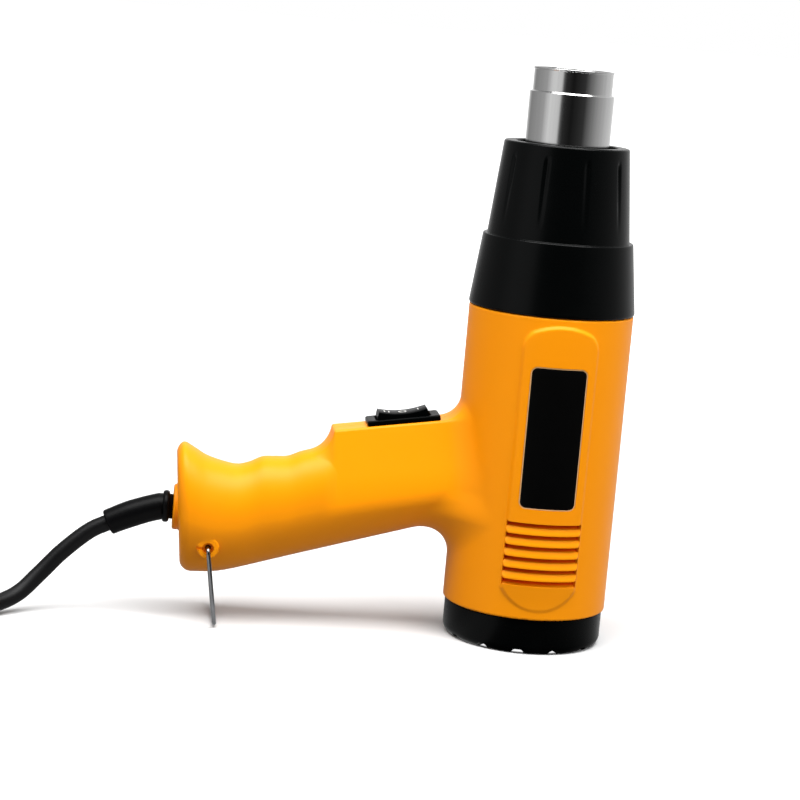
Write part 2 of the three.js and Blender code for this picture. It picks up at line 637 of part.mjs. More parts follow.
// Everything cut out of the clamshell
function housingCuts(far) {
  const cordHeight = handleZ(cordExitHeight);
  const cuts = [louvreSlots(-1), louvreSlots(1), labelRecess(), switchOpening()];
  const neckEnd = 2 * (BUTT_WALL + BUTT_BOSS_RAISE);
  const onCord = x => at(x, 0, cordHeight);
  cuts.push(rod(RELIEF_NECK_RADIUS + GAP, onCord(faceX - neckEnd), onCord(faceX + neckEnd), 12));
  for (const side of [-1, 1]) {
    const onPivot = y => at(bailX, side * y, bailZ);
    cuts.push(rod(BAIL_WIRE_RADIUS + GAP, onPivot(bailBossReach - EYE_DEPTH - 1), onPivot(far)));
    const reach = [side * (bailBossReach - BAIL_BOSS_RAISE), side * far].sort((a, b) => a - b);
    const half = BAIL_SLOT / 2;
    cuts.push(box(bailX - 2 * BAIL_BOSS_RADIUS, bailX, ...reach, bailZ - half, bailZ + half));
  }
  for (const { x, z, seat } of housingScrews) {
    cuts.push(rod(HEAD_RADIUS + GAP, at(x, seat, z), at(x, far, z)));
    cuts.push(rod(SCREW_RADIUS + GAP, at(x, seat - SCREW_LENGTH - 1, z), at(x, seat + 1, z), 8));
  }
  for (const z of clampScrewHeights) {
    cuts.push(rod(SCREW_RADIUS + GAP, at(clampX, -SCREW_LENGTH, z), at(clampX, 1, z), 8));
  }
  return joined(cuts);
}

// Opening for the switch in the land, square to the land
function switchOpening() {
  const opening = new THREE.BoxGeometry(SWITCH_LENGTH + 2 * GAP, SWITCH_WIDTH + 2 * GAP, SWITCH_DEPTH + 12);
  opening.translate(0, 0, 6 - SWITCH_DEPTH / 2 - GAP);
  return solid(opening.rotateY(-LAND_ANGLE).translate(handleX(landCentre), 0, handleZ(LAND_HEIGHT)));
}

function housingHalves() {
  const whole = housing();
  const reach = 2 * (HANDLE_LENGTH + BODY_RADIUS);
  const left = whole.intersect(box(-reach, reach, -reach, -GAP / 2, -reach, reach));
  const right = whole.intersect(box(-reach, reach, GAP / 2, reach, -reach, reach));
  piece('left_housing', left, orange);
  piece('right_housing', right, orange);
}

// Bare plate in the left panel's recess
function labelPlate() {
  const inner = BODY_RADIUS + PANEL_RAISE - LABEL_RECESS + GAP;
  const band = tube(inner + LABEL_THICKNESS, inner, bodyBottom, bodyTop);
  piece('label_plate', plateAlongY(labelOutline(GAP), -BODY_RADIUS * 1.5, 0).intersect(band), black);
}

// Self-tapping screw along Y, its head's underside at seat
function screw(name, x, z, seat) {
  const top = seat + GAP + HEAD_HEIGHT;
  const head = rod(HEAD_RADIUS, at(x, seat + GAP, z), at(x, top, z));
  const shank = rod(SCREW_RADIUS, at(x, seat - SCREW_LENGTH, z), at(x, top - HEAD_HEIGHT / 2, z), 8);
  piece(name, head.add(shank), steel);
}

// Nose guard: collar, step and fluted cone, with a spigot into the barrel
function noseGuard() {
  const base = bodyTop + GAP;
  const profile = [
    [noseBaseRadius - RIM_CHAMFER, base], [noseBaseRadius, base + RIM_CHAMFER],
    [noseStepRadius, noseStepZ - RIM_CHAMFER], [noseStepRadius - RIM_CHAMFER, noseStepZ],
    [coneBaseRadius, noseStepZ],
  ];
  for (let turn = 0; turn <= 90; turn += 30) {
    const angle = THREE.MathUtils.degToRad(turn);
    profile.push([
      coneTopRadius - NOSE_ROUND * (1 - Math.cos(angle)),
      noseTop - NOSE_ROUND * (1 - Math.sin(angle)),
    ]);
  }
  const [spigotInner, spigotEnd] = [fitRadius - SPIGOT_WALL, bodyTop - SPIGOT_DEPTH];
  profile.push([noseMouthRadius, noseTop], [noseMouthRadius, noseTop - NOSE_WALL]);
  profile.push([coneTopRadius - NOSE_WALL, noseTop - 2 * NOSE_WALL]);
  profile.push([coneBaseRadius - NOSE_WALL, noseStepZ], [spigotInner, base + NOSE_WALL]);
  profile.push([spigotInner, spigotEnd], [fitRadius, spigotEnd], [fitRadius, base]);
  let guard = turned(profile, 30);
  for (let k = 0; k < FLUTES; k++) {
    guard = guard.subtract(flute(2 * Math.PI * (k + FLUTE_TURN) / FLUTES - Math.PI / 2));
  }
  piece('nose_guard', guard, black);
}

// One shallow flute in the cone, deepest under the rim and running out towards the step
function flute(angle) {
  const vee = (z, depth, half) => {
    const radius = coneTopRadius + CONE_FLARE * (noseTop - z) / NOSE_CONE_LENGTH;
    return [at(radius - depth, 0, z), at(radius + 1, half, z), at(radius + 1, -half, z)];
  };
  const rings = [
    vee(noseStepZ + FLUTE_FROM_STEP, FLUTE_DEPTH / 8, FLUTE_WIDTH / 3),
    vee(noseTop - FLUTE_FROM_RIM, FLUTE_DEPTH, FLUTE_WIDTH / 2),
  ];
  const spin = at(0, 0, 1);
  return loft(rings.map(ring => ring.map(p => p.applyAxisAngle(spin, angle))));
}

// Outlet nozzle: stepped steel tube with a base flange and a rolled lip
function nozzle() {
  const inner = NOZZLE_RADIUS - NOZZLE_WALL;
  const tip = NOZZLE_RADIUS - NOZZLE_STEP;
  const tipInner = tip - NOZZLE_WALL;
  const flange = fitRadius - NOZZLE_FLANGE_INSET;
  const lip = nozzleTop - NOZZLE_WALL;
  piece('outlet_nozzle', turned([
    [inner, flangeBottom], [flange, flangeBottom], [flange, flangeTop], [NOZZLE_RADIUS, flangeTop],
    [NOZZLE_RADIUS, nozzleStep - NOZZLE_WALL], [NOZZLE_RADIUS - NOZZLE_WALL / 3, nozzleStep],
    [tip, nozzleStep], [tip, lip], [tip + NOZZLE_WALL / 4, (lip + nozzleTop) / 2], [tip, nozzleTop],
    [tipInner, nozzleTop],
    [tipInner, nozzleStep - NOZZLE_WALL], [inner, nozzleStep - 2 * NOZZLE_WALL],
  ], 30), steel);
}

// Heater: a base spider, two interlocked mica cards, the wire wound round them, and a mica sleeve
function heater() {
  const floor = ductTop + GAP;
  const baseTop = floor + HEATER_BASE_THICKNESS;
  const ring = tube(micaRadius, micaRadius - 2, floor, baseTop, 20);
  const half = SPIDER_BAR / 2;
  const reach = micaRadius - 1;
  const bar = box(-reach, reach, -half, half, floor, baseTop);
  const crossBar = box(-half, half, -reach, reach, floor, baseTop);
  piece('heater_base', joined([ring, bar, crossBar]), mica);
  piece('mica_sleeve', tube(micaRadius, micaRadius - MICA_WALL, heaterFloor, micaTop, 20), mica);
  const top = micaTop - CARD_SETBACK;
  const middle = (heaterFloor + top) / 2;
  const thin = CARD_THICKNESS / 2;
  const slot = thin + GAP;
  const width = cardHalfWidth;
  const first = box(-width, width, -thin, thin, heaterFloor, top);
  piece('heater_card_1', first.subtract(box(-slot, slot, -1, 1, middle - GAP / 2, top + 1)), mica);
  const second = box(-thin, thin, -width, width, heaterFloor, top);
  piece('heater_card_2', second.subtract(box(-1, 1, -slot, slot, heaterFloor - 1, middle + GAP / 2)), mica);
  const [low, high] = [heaterFloor + COIL_END_MARGIN, top - COIL_END_MARGIN];
  const steps = HEATER_TURNS * 12;
  const points = Array.from({ length: steps + 1 }, (_, i) => {
    const turn = 2 * Math.PI * HEATER_TURNS * i / steps;
    const height = THREE.MathUtils.lerp(low, high, i / steps);
    return at(heaterCoilRadius * Math.cos(turn), heaterCoilRadius * Math.sin(turn), height);
  });
  piece('heating_coil', roundLoft(stationsThrough(points, HEATER_WIRE_RADIUS), 4), nichrome);
  tellLeastGap('heating_coil', points, 2 * HEATER_WIRE_RADIUS);
}

// Prints the least gap between turns of a wound tube, measured on its middle line
function tellLeastGap(name, points, diameter) {
  let least = Infinity;
  for (let i = 0; i < points.length; i++) {
    let run = 0;
    for (let j = i + 1; j < points.length; j++) {
      run += points[j].distanceTo(points[j - 1]);
      if (run > 4 * diameter) least = Math.min(least, points[i].distanceTo(points[j]) - diameter);
    }
  }
  console.log(`${name}: least gap to itself ${least.toFixed(2)} mm`);
}

// Ring sector drawn in X and Y
function sector(outer, inner, from, to) {
  const outline = new THREE.Shape();
  outline.absarc(0, 0, outer, from, to, false);
  outline.absarc(0, 0, inner, to, from, true);
  return outline;
}

// Fan duct: plate that carries the motor, shroud round the fan, and a throat to the nozzle
function fanDuct() {
  const plateTop = ductBottom + DUCT_PLATE;
  const throat = NOZZLE_RADIUS - NOZZLE_WALL - 2;
  let duct = turned([
    [BUSH_RADIUS + 2, ductBottom], [fitRadius, ductBottom], [fitRadius, ductTop], [throat, ductTop],
    [throat, ductTop - DUCT_WALL], [fitRadius - DUCT_WALL, ductTop - DUCT_WALL - 8],
    [fitRadius - DUCT_WALL, plateTop], [BUSH_RADIUS + 2, plateTop],
  ], 24);
  const pitch = 2 * Math.PI / DUCT_WINDOWS;
  for (let k = 0; k < DUCT_WINDOWS; k++) {
    const window = sector(boreRadius - 6, MOTOR_RADIUS + 2, (k + 0.14) * pitch, (k + 0.86) * pitch);
    duct = duct.subtract(plateAlongZ(window, ductBottom - 1, plateTop + 1, 4));
  }
  for (const x of [-MOTOR_SCREW_CIRCLE, MOTOR_SCREW_CIRCLE]) {
    duct = duct.subtract(rod(SCREW_RADIUS + GAP, at(x, 0, ductBottom - 1), at(x, 0, plateTop + 1), 12));
  }
  piece('fan_duct', duct, greyPlastic);
}

// Fan wheel: hub on the shaft with twisted blades
function fanWheel() {
  const hub = tube(FAN_HUB_RADIUS, SHAFT_RADIUS + GAP, fanBottom, fanBottom + FAN_HEIGHT, 16);
  const middle = fanBottom + FAN_HEIGHT / 2;
  const blade = k => {
    const halfWay = (FAN_HUB_RADIUS + fanRadius) / 2;
    const stations = [
      [FAN_HUB_RADIUS - 1, 48, FAN_HEIGHT], [halfWay, 36, FAN_HEIGHT + 2], [fanRadius + 1, 26, FAN_HEIGHT + 4],
    ];
    return loft(stations.map(([radius, pitch, chord]) => {
      const angle = THREE.MathUtils.degToRad(pitch);
      const along = at(0, Math.cos(angle), Math.sin(angle)).multiplyScalar(chord / 2);
      const across = at(0, -Math.sin(angle), Math.cos(angle)).multiplyScalar(BLADE_THICKNESS / 2);
      return [[1, 1], [-1, 1], [-1, -1], [1, -1]].map(([a, b]) => {
        const p = at(radius, 0, middle).addScaledVector(along, a).addScaledVector(across, b);
        return p.applyAxisAngle(at(0, 0, 1), 2 * Math.PI * k / FAN_BLADES);
      });
    }));
  };
  const blades = Array.from({ length: FAN_BLADES }, (_, k) => blade(k));
  const round = tube(fanRadius, SHAFT_RADIUS + GAP, fanBottom - FAN_LIFT / 2, fanBottom + FAN_HEIGHT + 1, 24);
  piece('fan_wheel', joined([hub, ...blades]).intersect(round), greyPlastic);
}

// Motor: drawn steel can with magnets, brushes and bushes round the armature
function motor() {
  const capTop = motorBottom + END_CAP_THICKNESS;
  const canInner = MOTOR_RADIUS - MOTOR_WALL;
  const bushHole = BUSH_RADIUS + GAP;
  const boltHoles = [-1, 1].map(side => {
    const onBolt = z => at(side * MOTOR_SCREW_CIRCLE, 0, z);
    return rod(SCREW_RADIUS + GAP, onBolt(motorTop - 2 * CAN_TOP), onBolt(motorTop + 1), 12);
  });
  const can = turned([
    [canInner, capTop + GAP], [MOTOR_RADIUS, capTop + GAP], [MOTOR_RADIUS, motorTop - MOTOR_WALL],
    [MOTOR_RADIUS - MOTOR_WALL, motorTop], [bushHole, motorTop], [bushHole, motorTop - CAN_TOP],
    [canInner, motorTop - CAN_TOP],
  ], 28);
  piece('motor_can', can.subtract(joined(boltHoles)), steel);
  piece('motor_end_cap', tube(MOTOR_RADIUS, bushHole, motorBottom, capTop, 28), greyPlastic);
  const shaftHole = SHAFT_RADIUS + GAP;
  piece('front_bush', tube(BUSH_RADIUS, shaftHole, motorTop - BUSH_LENGTH, motorTop + 1, 16), brass);
  piece('rear_bush', tube(BUSH_RADIUS, shaftHole, motorBottom, motorBottom + BUSH_LENGTH, 16), brass);
  const magnetTop = motorTop - BUSH_LENGTH - 3;
  [0, 1].forEach(k => {
    const [from, to] = [(k + 0.14) * Math.PI, (k + 0.86) * Math.PI];
    const outline = sector(magnetRadius, magnetRadius - MAGNET_THICKNESS, from, to);
    piece(`field_magnet_${k + 1}`, plateAlongZ(outline, magnetTop - MAGNET_LENGTH, magnetTop, 7), ferrite);
  });
  const brushZ = capTop + GAP;
  const brushIn = COMMUTATOR_RADIUS + GAP;
  const brushHalf = BRUSH_SIZE / 2;
  [-1, 1].forEach((side, k) => {
    const reach = [side * brushIn, side * (brushIn + BRUSH_LENGTH)].sort((a, b) => a - b);
    piece(`brush_${k + 1}`, box(...reach, -brushHalf, brushHalf, brushZ, brushZ + BRUSH_SIZE), ferrite);
  });
  piece('motor_shaft', disc(SHAFT_RADIUS, motorBottom - 3, fanBottom + FAN_HEIGHT - 1, 16), steel);
  const armatureLow = magnetTop - (MAGNET_LENGTH + ARMATURE_LENGTH) / 2;
  armature(armatureLow, armatureLow + ARMATURE_LENGTH);
  piece('commutator', tube(COMMUTATOR_RADIUS, shaftHole, brushZ, armatureLow - GAP, 16), brass);
  rectifier();
  [-1, 1].forEach((side, k) => motorScrew(`motor_screw_${k + 1}`, side * MOTOR_SCREW_CIRCLE));
}

function armature(low, high) {
  let core = tube(armatureRadius, SHAFT_RADIUS + GAP, low, high, 20);
  for (let k = 0; k < POLES; k++) {
    const turn = 2 * Math.PI * k / POLES;
    core = core.subtract(box(armatureRadius / 2, armatureRadius + 1, -1.2, 1.2, low - 1, high + 1, turn));
  }
  piece('armature', core, ferrite);
}

// Rectifier board behind the motor, with its four diodes
function rectifier() {
  const top = motorBottom - GAP;
  const low = top - BOARD_THICKNESS;
  let board = tube(MOTOR_RADIUS - 1, SHAFT_RADIUS + 1.5, low, top, 24);
  for (let k = 0; k < 4; k++) {
    const turn = Math.PI * (k + 0.5) / 2;
    const [x, y] = [11 * Math.cos(turn), 11 * Math.sin(turn)];
    board = board.add(box(x - 2.6, x + 2.6, y - 1.4, y + 1.4, low - 2.8, low + 0.5));
  }
  piece('rectifier_board', board, boardGreen);
}

function motorScrew(name, x) {
  const seat = ductBottom + DUCT_PLATE + GAP;
  const head = rod(HEAD_RADIUS, at(x, 0, seat), at(x, 0, seat + HEAD_HEIGHT));
  const shank = rod(SCREW_RADIUS, at(x, 0, motorTop - CAN_TOP), at(x, 0, seat + HEAD_HEIGHT / 2), 8);
  piece(name, head.add(shank), steel);
}

// Rear cap: notched intake cap with a flat middle, on a spigot in the barrel
function rearCap() {
  const rim = bodyBottom - GAP;
  const profile = [[0, 0], [capRadius - CAP_CORNER, 0]];
  for (let turn = 30; turn <= 90; turn += 30) {
    const angle = THREE.MathUtils.degToRad(turn);
    profile.push([capRadius - CAP_CORNER * (1 - Math.sin(angle)), CAP_ROUND * (1 - Math.cos(angle))]);
  }
  const [spigotInner, spigotTop] = [fitRadius - SPIGOT_WALL, bodyBottom + CAP_SPIGOT];
  profile.push([capRadius, rim], [fitRadius, rim], [fitRadius, spigotTop], [spigotInner, spigotTop]);
  profile.push([spigotInner, CAP_PLATE], [0, CAP_PLATE]);
  let cap = turned(profile, 2 * CAP_NOTCHES);
  const half = CAP_NOTCH_WIDTH / 2;
  for (let k = 0; k < CAP_NOTCHES; k++) {
    const turn = 2 * Math.PI * k / CAP_NOTCHES - Math.PI / 2;
    cap = cap.subtract(box(CAP_DISC_RADIUS, capRadius + 1, -half, half, -1, CAP_NOTCH_HEIGHT, turn));
  }
  piece('rear_cap', cap, black);
}

// Rocker switch, built level and turned onto the land
function rockerSwitch() {
  const group = new THREE.Group();
  group.position.set(handleX(landCentre), 0, handleZ(LAND_HEIGHT));
  group.rotation.y = -LAND_ANGLE;
  tool.add(group);
  const bezelTop = GAP + BEZEL_THICKNESS;
  const bezelRing = (inset, up) => [[1, 1], [-1, 1], [-1, -1], [1, -1]].map(([a, b]) =>
    at(a * (bezelLength / 2 - inset), b * (bezelWidth / 2 - inset), GAP + up));
  const bezel = loft([
    bezelRing(0, 0), bezelRing(0, BEZEL_THICKNESS - BEZEL_EDGE), bezelRing(BEZEL_EDGE, BEZEL_THICKNESS),
  ]);
  const [bodyHalf, bodyWide] = [SWITCH_LENGTH / 2, SWITCH_WIDTH / 2];
  const body = box(-bodyHalf, bodyHalf, -bodyWide, bodyWide, -SWITCH_DEPTH, GAP + 1);
  const pocketHalf = rockerRadius + SLIP;
  const pocketWide = rockerWidth / 2 + GAP;
  const pocketFloor = ROCKER_PIVOT - rockerRadius * Math.sin(ROCKER_THROW) - ROCKER_WEDGE - SLIP;
  const pocket = box(-pocketHalf, pocketHalf, -pocketWide, pocketWide, pocketFloor, bezelTop + 1);
  const onPin = y => at(0, y, ROCKER_PIVOT);
  const pinHole = rod(ROCKER_PIN_RADIUS + GAP, onPin(-bezelWidth), onPin(bezelWidth), 16);
  piece('switch_frame', bezel.add(body).subtract(pocket).subtract(pinHole), black, group);
  piece('rocker_button', rocker(), black, group);
  [-1, 0, 1].forEach((place, k) => {
    const x = place * TERMINAL_PITCH;
    const top = -SWITCH_DEPTH - GAP;
    const [thin, wide] = [TERMINAL_THICKNESS / 2, TERMINAL_WIDTH / 2];
    const tab = box(x - thin, x + thin, -wide, wide, top - TERMINAL_LENGTH, top);
    piece(`switch_terminal_${k + 1}`, tab, brass, group);
  });
}

// Rocker: dished top, round ends about its pivot, a wedge below, and two pins
function rocker() {
  const outline = new THREE.Shape();
  const rise = ROCKER_HORN - ROCKER_PIVOT;
  const hornX = Math.sqrt(rockerRadius ** 2 - rise ** 2);
  const low = Math.asin(ROCKER_SKIRT / rockerRadius);
  const high = Math.asin(rise / rockerRadius);
  outline.moveTo(0, ROCKER_PIVOT - ROCKER_WEDGE);
  outline.lineTo(rockerRadius * Math.cos(low), ROCKER_PIVOT - ROCKER_SKIRT);
  outline.absarc(0, ROCKER_PIVOT, rockerRadius, -low, high);
  outline.quadraticCurveTo(0, 2 * ROCKER_CROWN - ROCKER_HORN, -hornX, ROCKER_HORN);
  outline.absarc(0, ROCKER_PIVOT, rockerRadius, Math.PI - high, Math.PI + low);
  const button = plateAlongY(outline, -rockerWidth / 2, rockerWidth / 2);
  const reach = SWITCH_WIDTH / 2 - GAP;
  return button.add(rod(ROCKER_PIN_RADIUS, at(0, -reach, ROCKER_PIVOT), at(0, reach, ROCKER_PIVOT), 16));
}

// Hanging bail: one bent wire whose turned-in ends sit in the two eyes
function bail() {
  const group = new THREE.Group();
  group.position.set(bailX, 0, bailZ);
  group.rotation.y = -BAIL_REST;
  tool.add(group);
  const corner = (from, middle, to) => new THREE.QuadraticBezierCurve3(from, middle, to).getPoints(4);
  const legY = bailLegY;
  const top = corner(at(0, legY - BAIL_BEND, 0), at(0, legY, 0), at(0, legY, -BAIL_BEND));
  const low = -BAIL_LENGTH;
  const bottom = corner(at(0, legY, low + BAIL_BEND), at(0, legY, low), at(0, legY - BAIL_BEND, low));
  const right = [at(0, bailBossReach - EYE_DEPTH + GAP, 0), ...top, ...bottom];
  const left = right.map(p => at(p.x, -p.y, p.z)).reverse();
  piece('wire_bail', roundLoft(stationsThrough([...right, ...left], BAIL_WIRE_RADIUS), 8), steel, group);
}

// Strain relief: flange inside the butt, neck, collar, and a sleeve that droops with the cord
const reliefStart = at(faceX - BUTT_BOSS_RAISE - GAP - RELIEF_COLLAR_LENGTH, 0, handleZ(cordExitHeight));
const reliefCurve = new THREE.QuadraticBezierCurve3(
  reliefStart, reliefStart.clone().add(at(-0.47 * RELIEF_REACH, 0, -0.29 * RELIEF_DROP)),
  reliefStart.clone().add(at(-RELIEF_REACH, 0, -RELIEF_DROP)));
const reliefEnd = reliefCurve.getPoint(1);
const reliefHeading = reliefCurve.getTangent(1);

function strainRelief() {
  const inside = faceX + BUTT_WALL + 1;
  const collar = reliefStart.x + RELIEF_COLLAR_LENGTH;
  const straight = at(-1, 0, 0);
  const turnedPart = [
    [inside + RELIEF_FLANGE_THICKNESS, RELIEF_FLANGE_RADIUS], [inside, RELIEF_FLANGE_RADIUS],
    [inside, RELIEF_NECK_RADIUS], [collar, RELIEF_NECK_RADIUS], [collar, RELIEF_COLLAR_RADIUS - RIM_CHAMFER],
    [collar - RIM_CHAMFER, RELIEF_COLLAR_RADIUS], [reliefStart.x, RELIEF_COLLAR_RADIUS],
  ].map(([x, radius]) => ({ point: at(x, 0, reliefStart.z), heading: straight, radius }));
  const steps = 6;
  const sleeve = Array.from({ length: steps + 1 }, (_, i) => ({
    point: reliefCurve.getPoint(i / steps),
    heading: i === 0 ? straight : reliefCurve.getTangent(i / steps),
    radius: THREE.MathUtils.lerp(RELIEF_SLEEVE_RADIUS, RELIEF_TIP_RADIUS, i / steps),
  }));
  piece('strain_relief', roundLoft([...turnedPart, ...sleeve], 12), rubber);
}

// Inner end of the cord, its clamp with two screws, and the wires that go on from it
const innerCordStart = faceX + BUTT_WALL + 1 + RELIEF_FLANGE_THICKNESS + GAP;
const innerCordEnd = innerCordStart + INNER_CORD_LENGTH;

function innerCord() {
  const height = handleZ(cordExitHeight);
  const end = rod(CORD_DIAMETER / 2, at(innerCordStart, 0, height), at(innerCordEnd, 0, height), 12);
  piece('cord_inner', end, rubber);
  const reach = CORD_DIAMETER / 2 + GAP;
  const top = reach + CLAMP_THICKNESS;
  const foot = CLAMP_SCREW_PITCH / 2 + HEAD_RADIUS;
  const [x0, x1] = [clampX - CLAMP_WIDTH / 2, clampX + CLAMP_WIDTH / 2];
  const bar = box(x0, x1, GAP / 2, top, height - foot, height + foot);
  const channel = box(x0 - 1, x1 + 1, -1, reach, height - reach, height + reach);
  const holes = clampScrewHeights.map(z =>
    rod(SCREW_RADIUS + GAP, at(clampX, -1, z), at(clampX, top + 1, z), 12));
  piece('cord_clamp', bar.subtract(joined([channel, ...holes])), greyPlastic);
  clampScrewHeights.forEach((z, k) => screw(`clamp_screw_${k + 1}`, clampX, z, top));
}

// Point on the land's frame, carried into the tool's frame
function onLand(x, y, z) {
  const middle = at(handleX(landCentre), 0, handleZ(LAND_HEIGHT));
  return at(x, y, z).applyAxisAngle(at(0, 1, 0), -LAND_ANGLE).add(middle);
}

function wire(name, points, finish) {
  const path = new THREE.CatmullRomCurve3(points, false, 'centripetal').getSpacedPoints(14);
  piece(name, roundLoft(stationsThrough(path, WIRE_RADIUS), 5), finish);
}

function wires() {
  const height = handleZ(cordExitHeight);
  const start = innerCordEnd + GAP;
  const below = -SWITCH_DEPTH - TERMINAL_LENGTH - 2 * GAP;
  const end = k => onLand(k * TERMINAL_PITCH, 0, below);
  const beneath = (k, drop) => onLand(k * TERMINAL_PITCH, 0, below - drop);
  wire('live_wire', [
    at(start, 0, height + 2), at(start + CLAMP_WIDTH, 0, height + 2), at(handleX(BLOCK_END - 3), 0, height + 6),
    beneath(-1, 7), end(-1),
  ], brownWire);
  const boardLow = motorBottom - GAP - BOARD_THICKNESS - SLIP;
  const boardX = WIRE_BEND - MOTOR_RADIUS;
  const root = 0.28 * BLOCK_END;
  const overUnderside = handleZ(straightUnderside(root) + 2 * WALL);
  const aside = 3 * WIRE_RADIUS;
  wire('neutral_wire', [
    at(start, 0, height - 2), at(start + CLAMP_WIDTH, 0, height - 2),
    at(handleX(0.85 * BLOCK_END), aside, height - 2), at(handleX(root), aside, overUnderside),
    at(-BODY_RADIUS + WIRE_BEND, 0, overUnderside - UNDERSIDE_FILLET / 3),
    at(-MOTOR_RADIUS - 4, 0, boardLow - 2), at(boardX - 1, 0, boardLow - WIRE_DIP),
    at(boardX, 0, boardLow - 3),
    at(boardX, 0, boardLow),
  ], blueWire);
  wire('heater_wire', [
    end(1), beneath(1, 6), at(handleX(0.11 * BLOCK_END), 0, handleZ(0.585 * LAND_HEIGHT)),
    at(-MOTOR_RADIUS - 6, 0, handleZ(0.64 * LAND_HEIGHT)),
    at(-MOTOR_RADIUS - SHELF_WIDTH, 0, ductBottom - FAN_HEIGHT),
    at(-MOTOR_RADIUS - 0.9 * SHELF_WIDTH, 0, ductBottom - GAP),
  ], redWire);
}

// Spare cord: a coil of two layers, spiralling in below and out above, and the tail that climbs over them
const cordRadius = CORD_DIAMETER / 2;
const coilLift = TIE_THICKNESS + GAP;
const coilOuterRadius = COIL_INNER_RADIUS + COIL_PITCH * COIL_TURNS / 2;
const coilTop = coilLift + CORD_DIAMETER + COIL_PITCH;

function coilPoint(turns) {
  const fromMiddle = turns - COIL_TURNS / 2;
  const radius = COIL_INNER_RADIUS + COIL_PITCH * Math.abs(fromMiddle);
  const climb = THREE.MathUtils.clamp(2 * fromMiddle + 0.5, 0, 1);
  const angle = -Math.PI / 2 - 2 * Math.PI * turns;
  const height = coilLift + cordRadius + COIL_PITCH * climb;
  return at(COIL_X + radius * Math.cos(angle), COIL_Y + radius * Math.sin(angle), height);
}

function coilPath() {
  const steps = 24;
  const turns = Array.from({ length: Math.round(COIL_TURNS * steps) + 1 }, (_, i) => coilPoint(i / steps));
  const first = turns[0].clone().add(at(CORD_DIAMETER, 0, 0));
  const last = turns.at(-1).clone().add(at(-CORD_DIAMETER, 0, 0));
  return [first, ...turns, last];
}

function spareCord() {
  const path = coilPath();
  piece('cord_coil', roundLoft(stationsThrough(path, cordRadius), 6), rubber);
  tellLeastGap('cord_coil', path, CORD_DIAMETER);
  const leadEnd = path[0].clone().add(at(GAP, 0, 0));
  const leadStart = reliefEnd.clone().addScaledVector(reliefHeading, GAP);
  const lead = new THREE.CatmullRomCurve3([
    leadStart, leadStart.clone().addScaledVector(reliefHeading, CORD_DIAMETER), at(-196, -2, 25),
    at(-205, -5, 15.5), at(-213, -10, 8), at(-222, -17, 4.6), at(-232, -26, 3.9), at(-243, -36, 4.2),
    at(-257, -46, 4.5), leadEnd.clone().add(at(9, 0, 0)), leadEnd,
  ], false, 'centripetal');
  piece('cord_lead', cordTube(lead, 16), rubber);
  const onCoil = (x, y, z) => at(COIL_X + x, COIL_Y + y, z);
  const tailStart = path.at(-1).clone().add(at(-GAP, 0, 0));
  const tailEnd = onCoil(-10.5, 30.8, coilTop + 2 * GAP + PLUG_HALF_HEIGHT);
  const tail = new THREE.CatmullRomCurve3([
    tailStart, tailStart.clone().add(at(-cordRadius, 0, 0)), onCoil(-20, -44.3, 13.2), onCoil(-34, -34, 15.2),
    onCoil(-44.6, -15, 18.2), onCoil(-45.6, 4.5, 21), onCoil(-37.6, 21.5, 23.6), onCoil(-26, 30, 26),
    tailEnd.clone().add(at(-7.8, 1.2, 0)), tailEnd,
  ], false, 'centripetal');
  piece('cord_tail', cordTube(tail, 20), rubber);
  console.log(`cord: lead ${lead.getLength().toFixed(0)} mm, tail ${tail.getLength().toFixed(0)} mm`);
  coilTie();
  plug(tailEnd, tail.getTangent(1));
}

// Strap round the coil's turns, on the side nearest the tool
function coilTie() {
  const inner = COIL_INNER_RADIUS - cordRadius - TIE_SLACK;
  const outer = coilOuterRadius + cordRadius + TIE_SLACK;
  const top = coilTop + GAP;
  const half = TIE_WIDTH / 2;
  const strap = box(inner - TIE_THICKNESS, outer + TIE_THICKNESS, -half, half, 0, top + TIE_THICKNESS);
  const window = box(inner, outer, -half - 1, half + 1, TIE_THICKNESS, top);
  const group = new THREE.Group();
  group.position.set(COIL_X, COIL_Y, 0);
  tool.add(group);
  piece('coil_tie', strap.subtract(window), rubber, group);
}

// Two-pin plug lying on the coil: a neck that swells into an oval body, with the pins in its face
function plug(start, heading) {
  const along = distance => start.clone().addScaledVector(heading, distance);
  const across = new THREE.Vector3().crossVectors(heading, at(0, 0, 1)).normalize();
  const up = new THREE.Vector3().crossVectors(across, heading);
  const sides = 16;
  const ring = (share, swell, draw) => Array.from({ length: sides }, (_, k) => {
    const turn = 2 * Math.PI * k / sides;
    const wide = THREE.MathUtils.lerp(PLUG_NECK_RADIUS, PLUG_HALF_WIDTH, swell) - draw;
    const high = THREE.MathUtils.lerp(PLUG_NECK_RADIUS, PLUG_HALF_HEIGHT, swell) - draw;
    const middle = along(GAP + share * (PLUG_LENGTH - GAP));
    return middle.addScaledVector(across, wide * Math.cos(turn)).addScaledVector(up, high * Math.sin(turn));
  });
  piece('plug_body', loft([
    ring(0, 0, 0), ring(0.25, 0.08, 0), ring(0.34, 0.5, 0), ring(0.46, 0.85, 0), ring(0.62, 1, 0),
    ring(0.95, 1, 0), ring(1, 1, 1),
  ]), rubber);
  [-1, 1].forEach((side, k) => {
    const shift = across.clone().multiplyScalar(side * PIN_PITCH / 2);
    const from = along(PLUG_LENGTH + GAP).add(shift);
    const to = along(PLUG_LENGTH + PIN_LENGTH).add(shift);
    piece(`plug_pin_${k + 1}`, rod(PIN_RADIUS, from, to, 12), brass);
  });
}

housingHalves();
labelPlate();
housingScrews.forEach(({ x, z, seat }, k) => screw(`housing_screw_${k + 1}`, x, z, seat));
noseGuard();
nozzle();
heater();
fanDuct();
fanWheel();
motor();
rearCap();
rockerSwitch();
bail();
strainRelief();
innerCord();
wires();
spareCord();

export default tool;
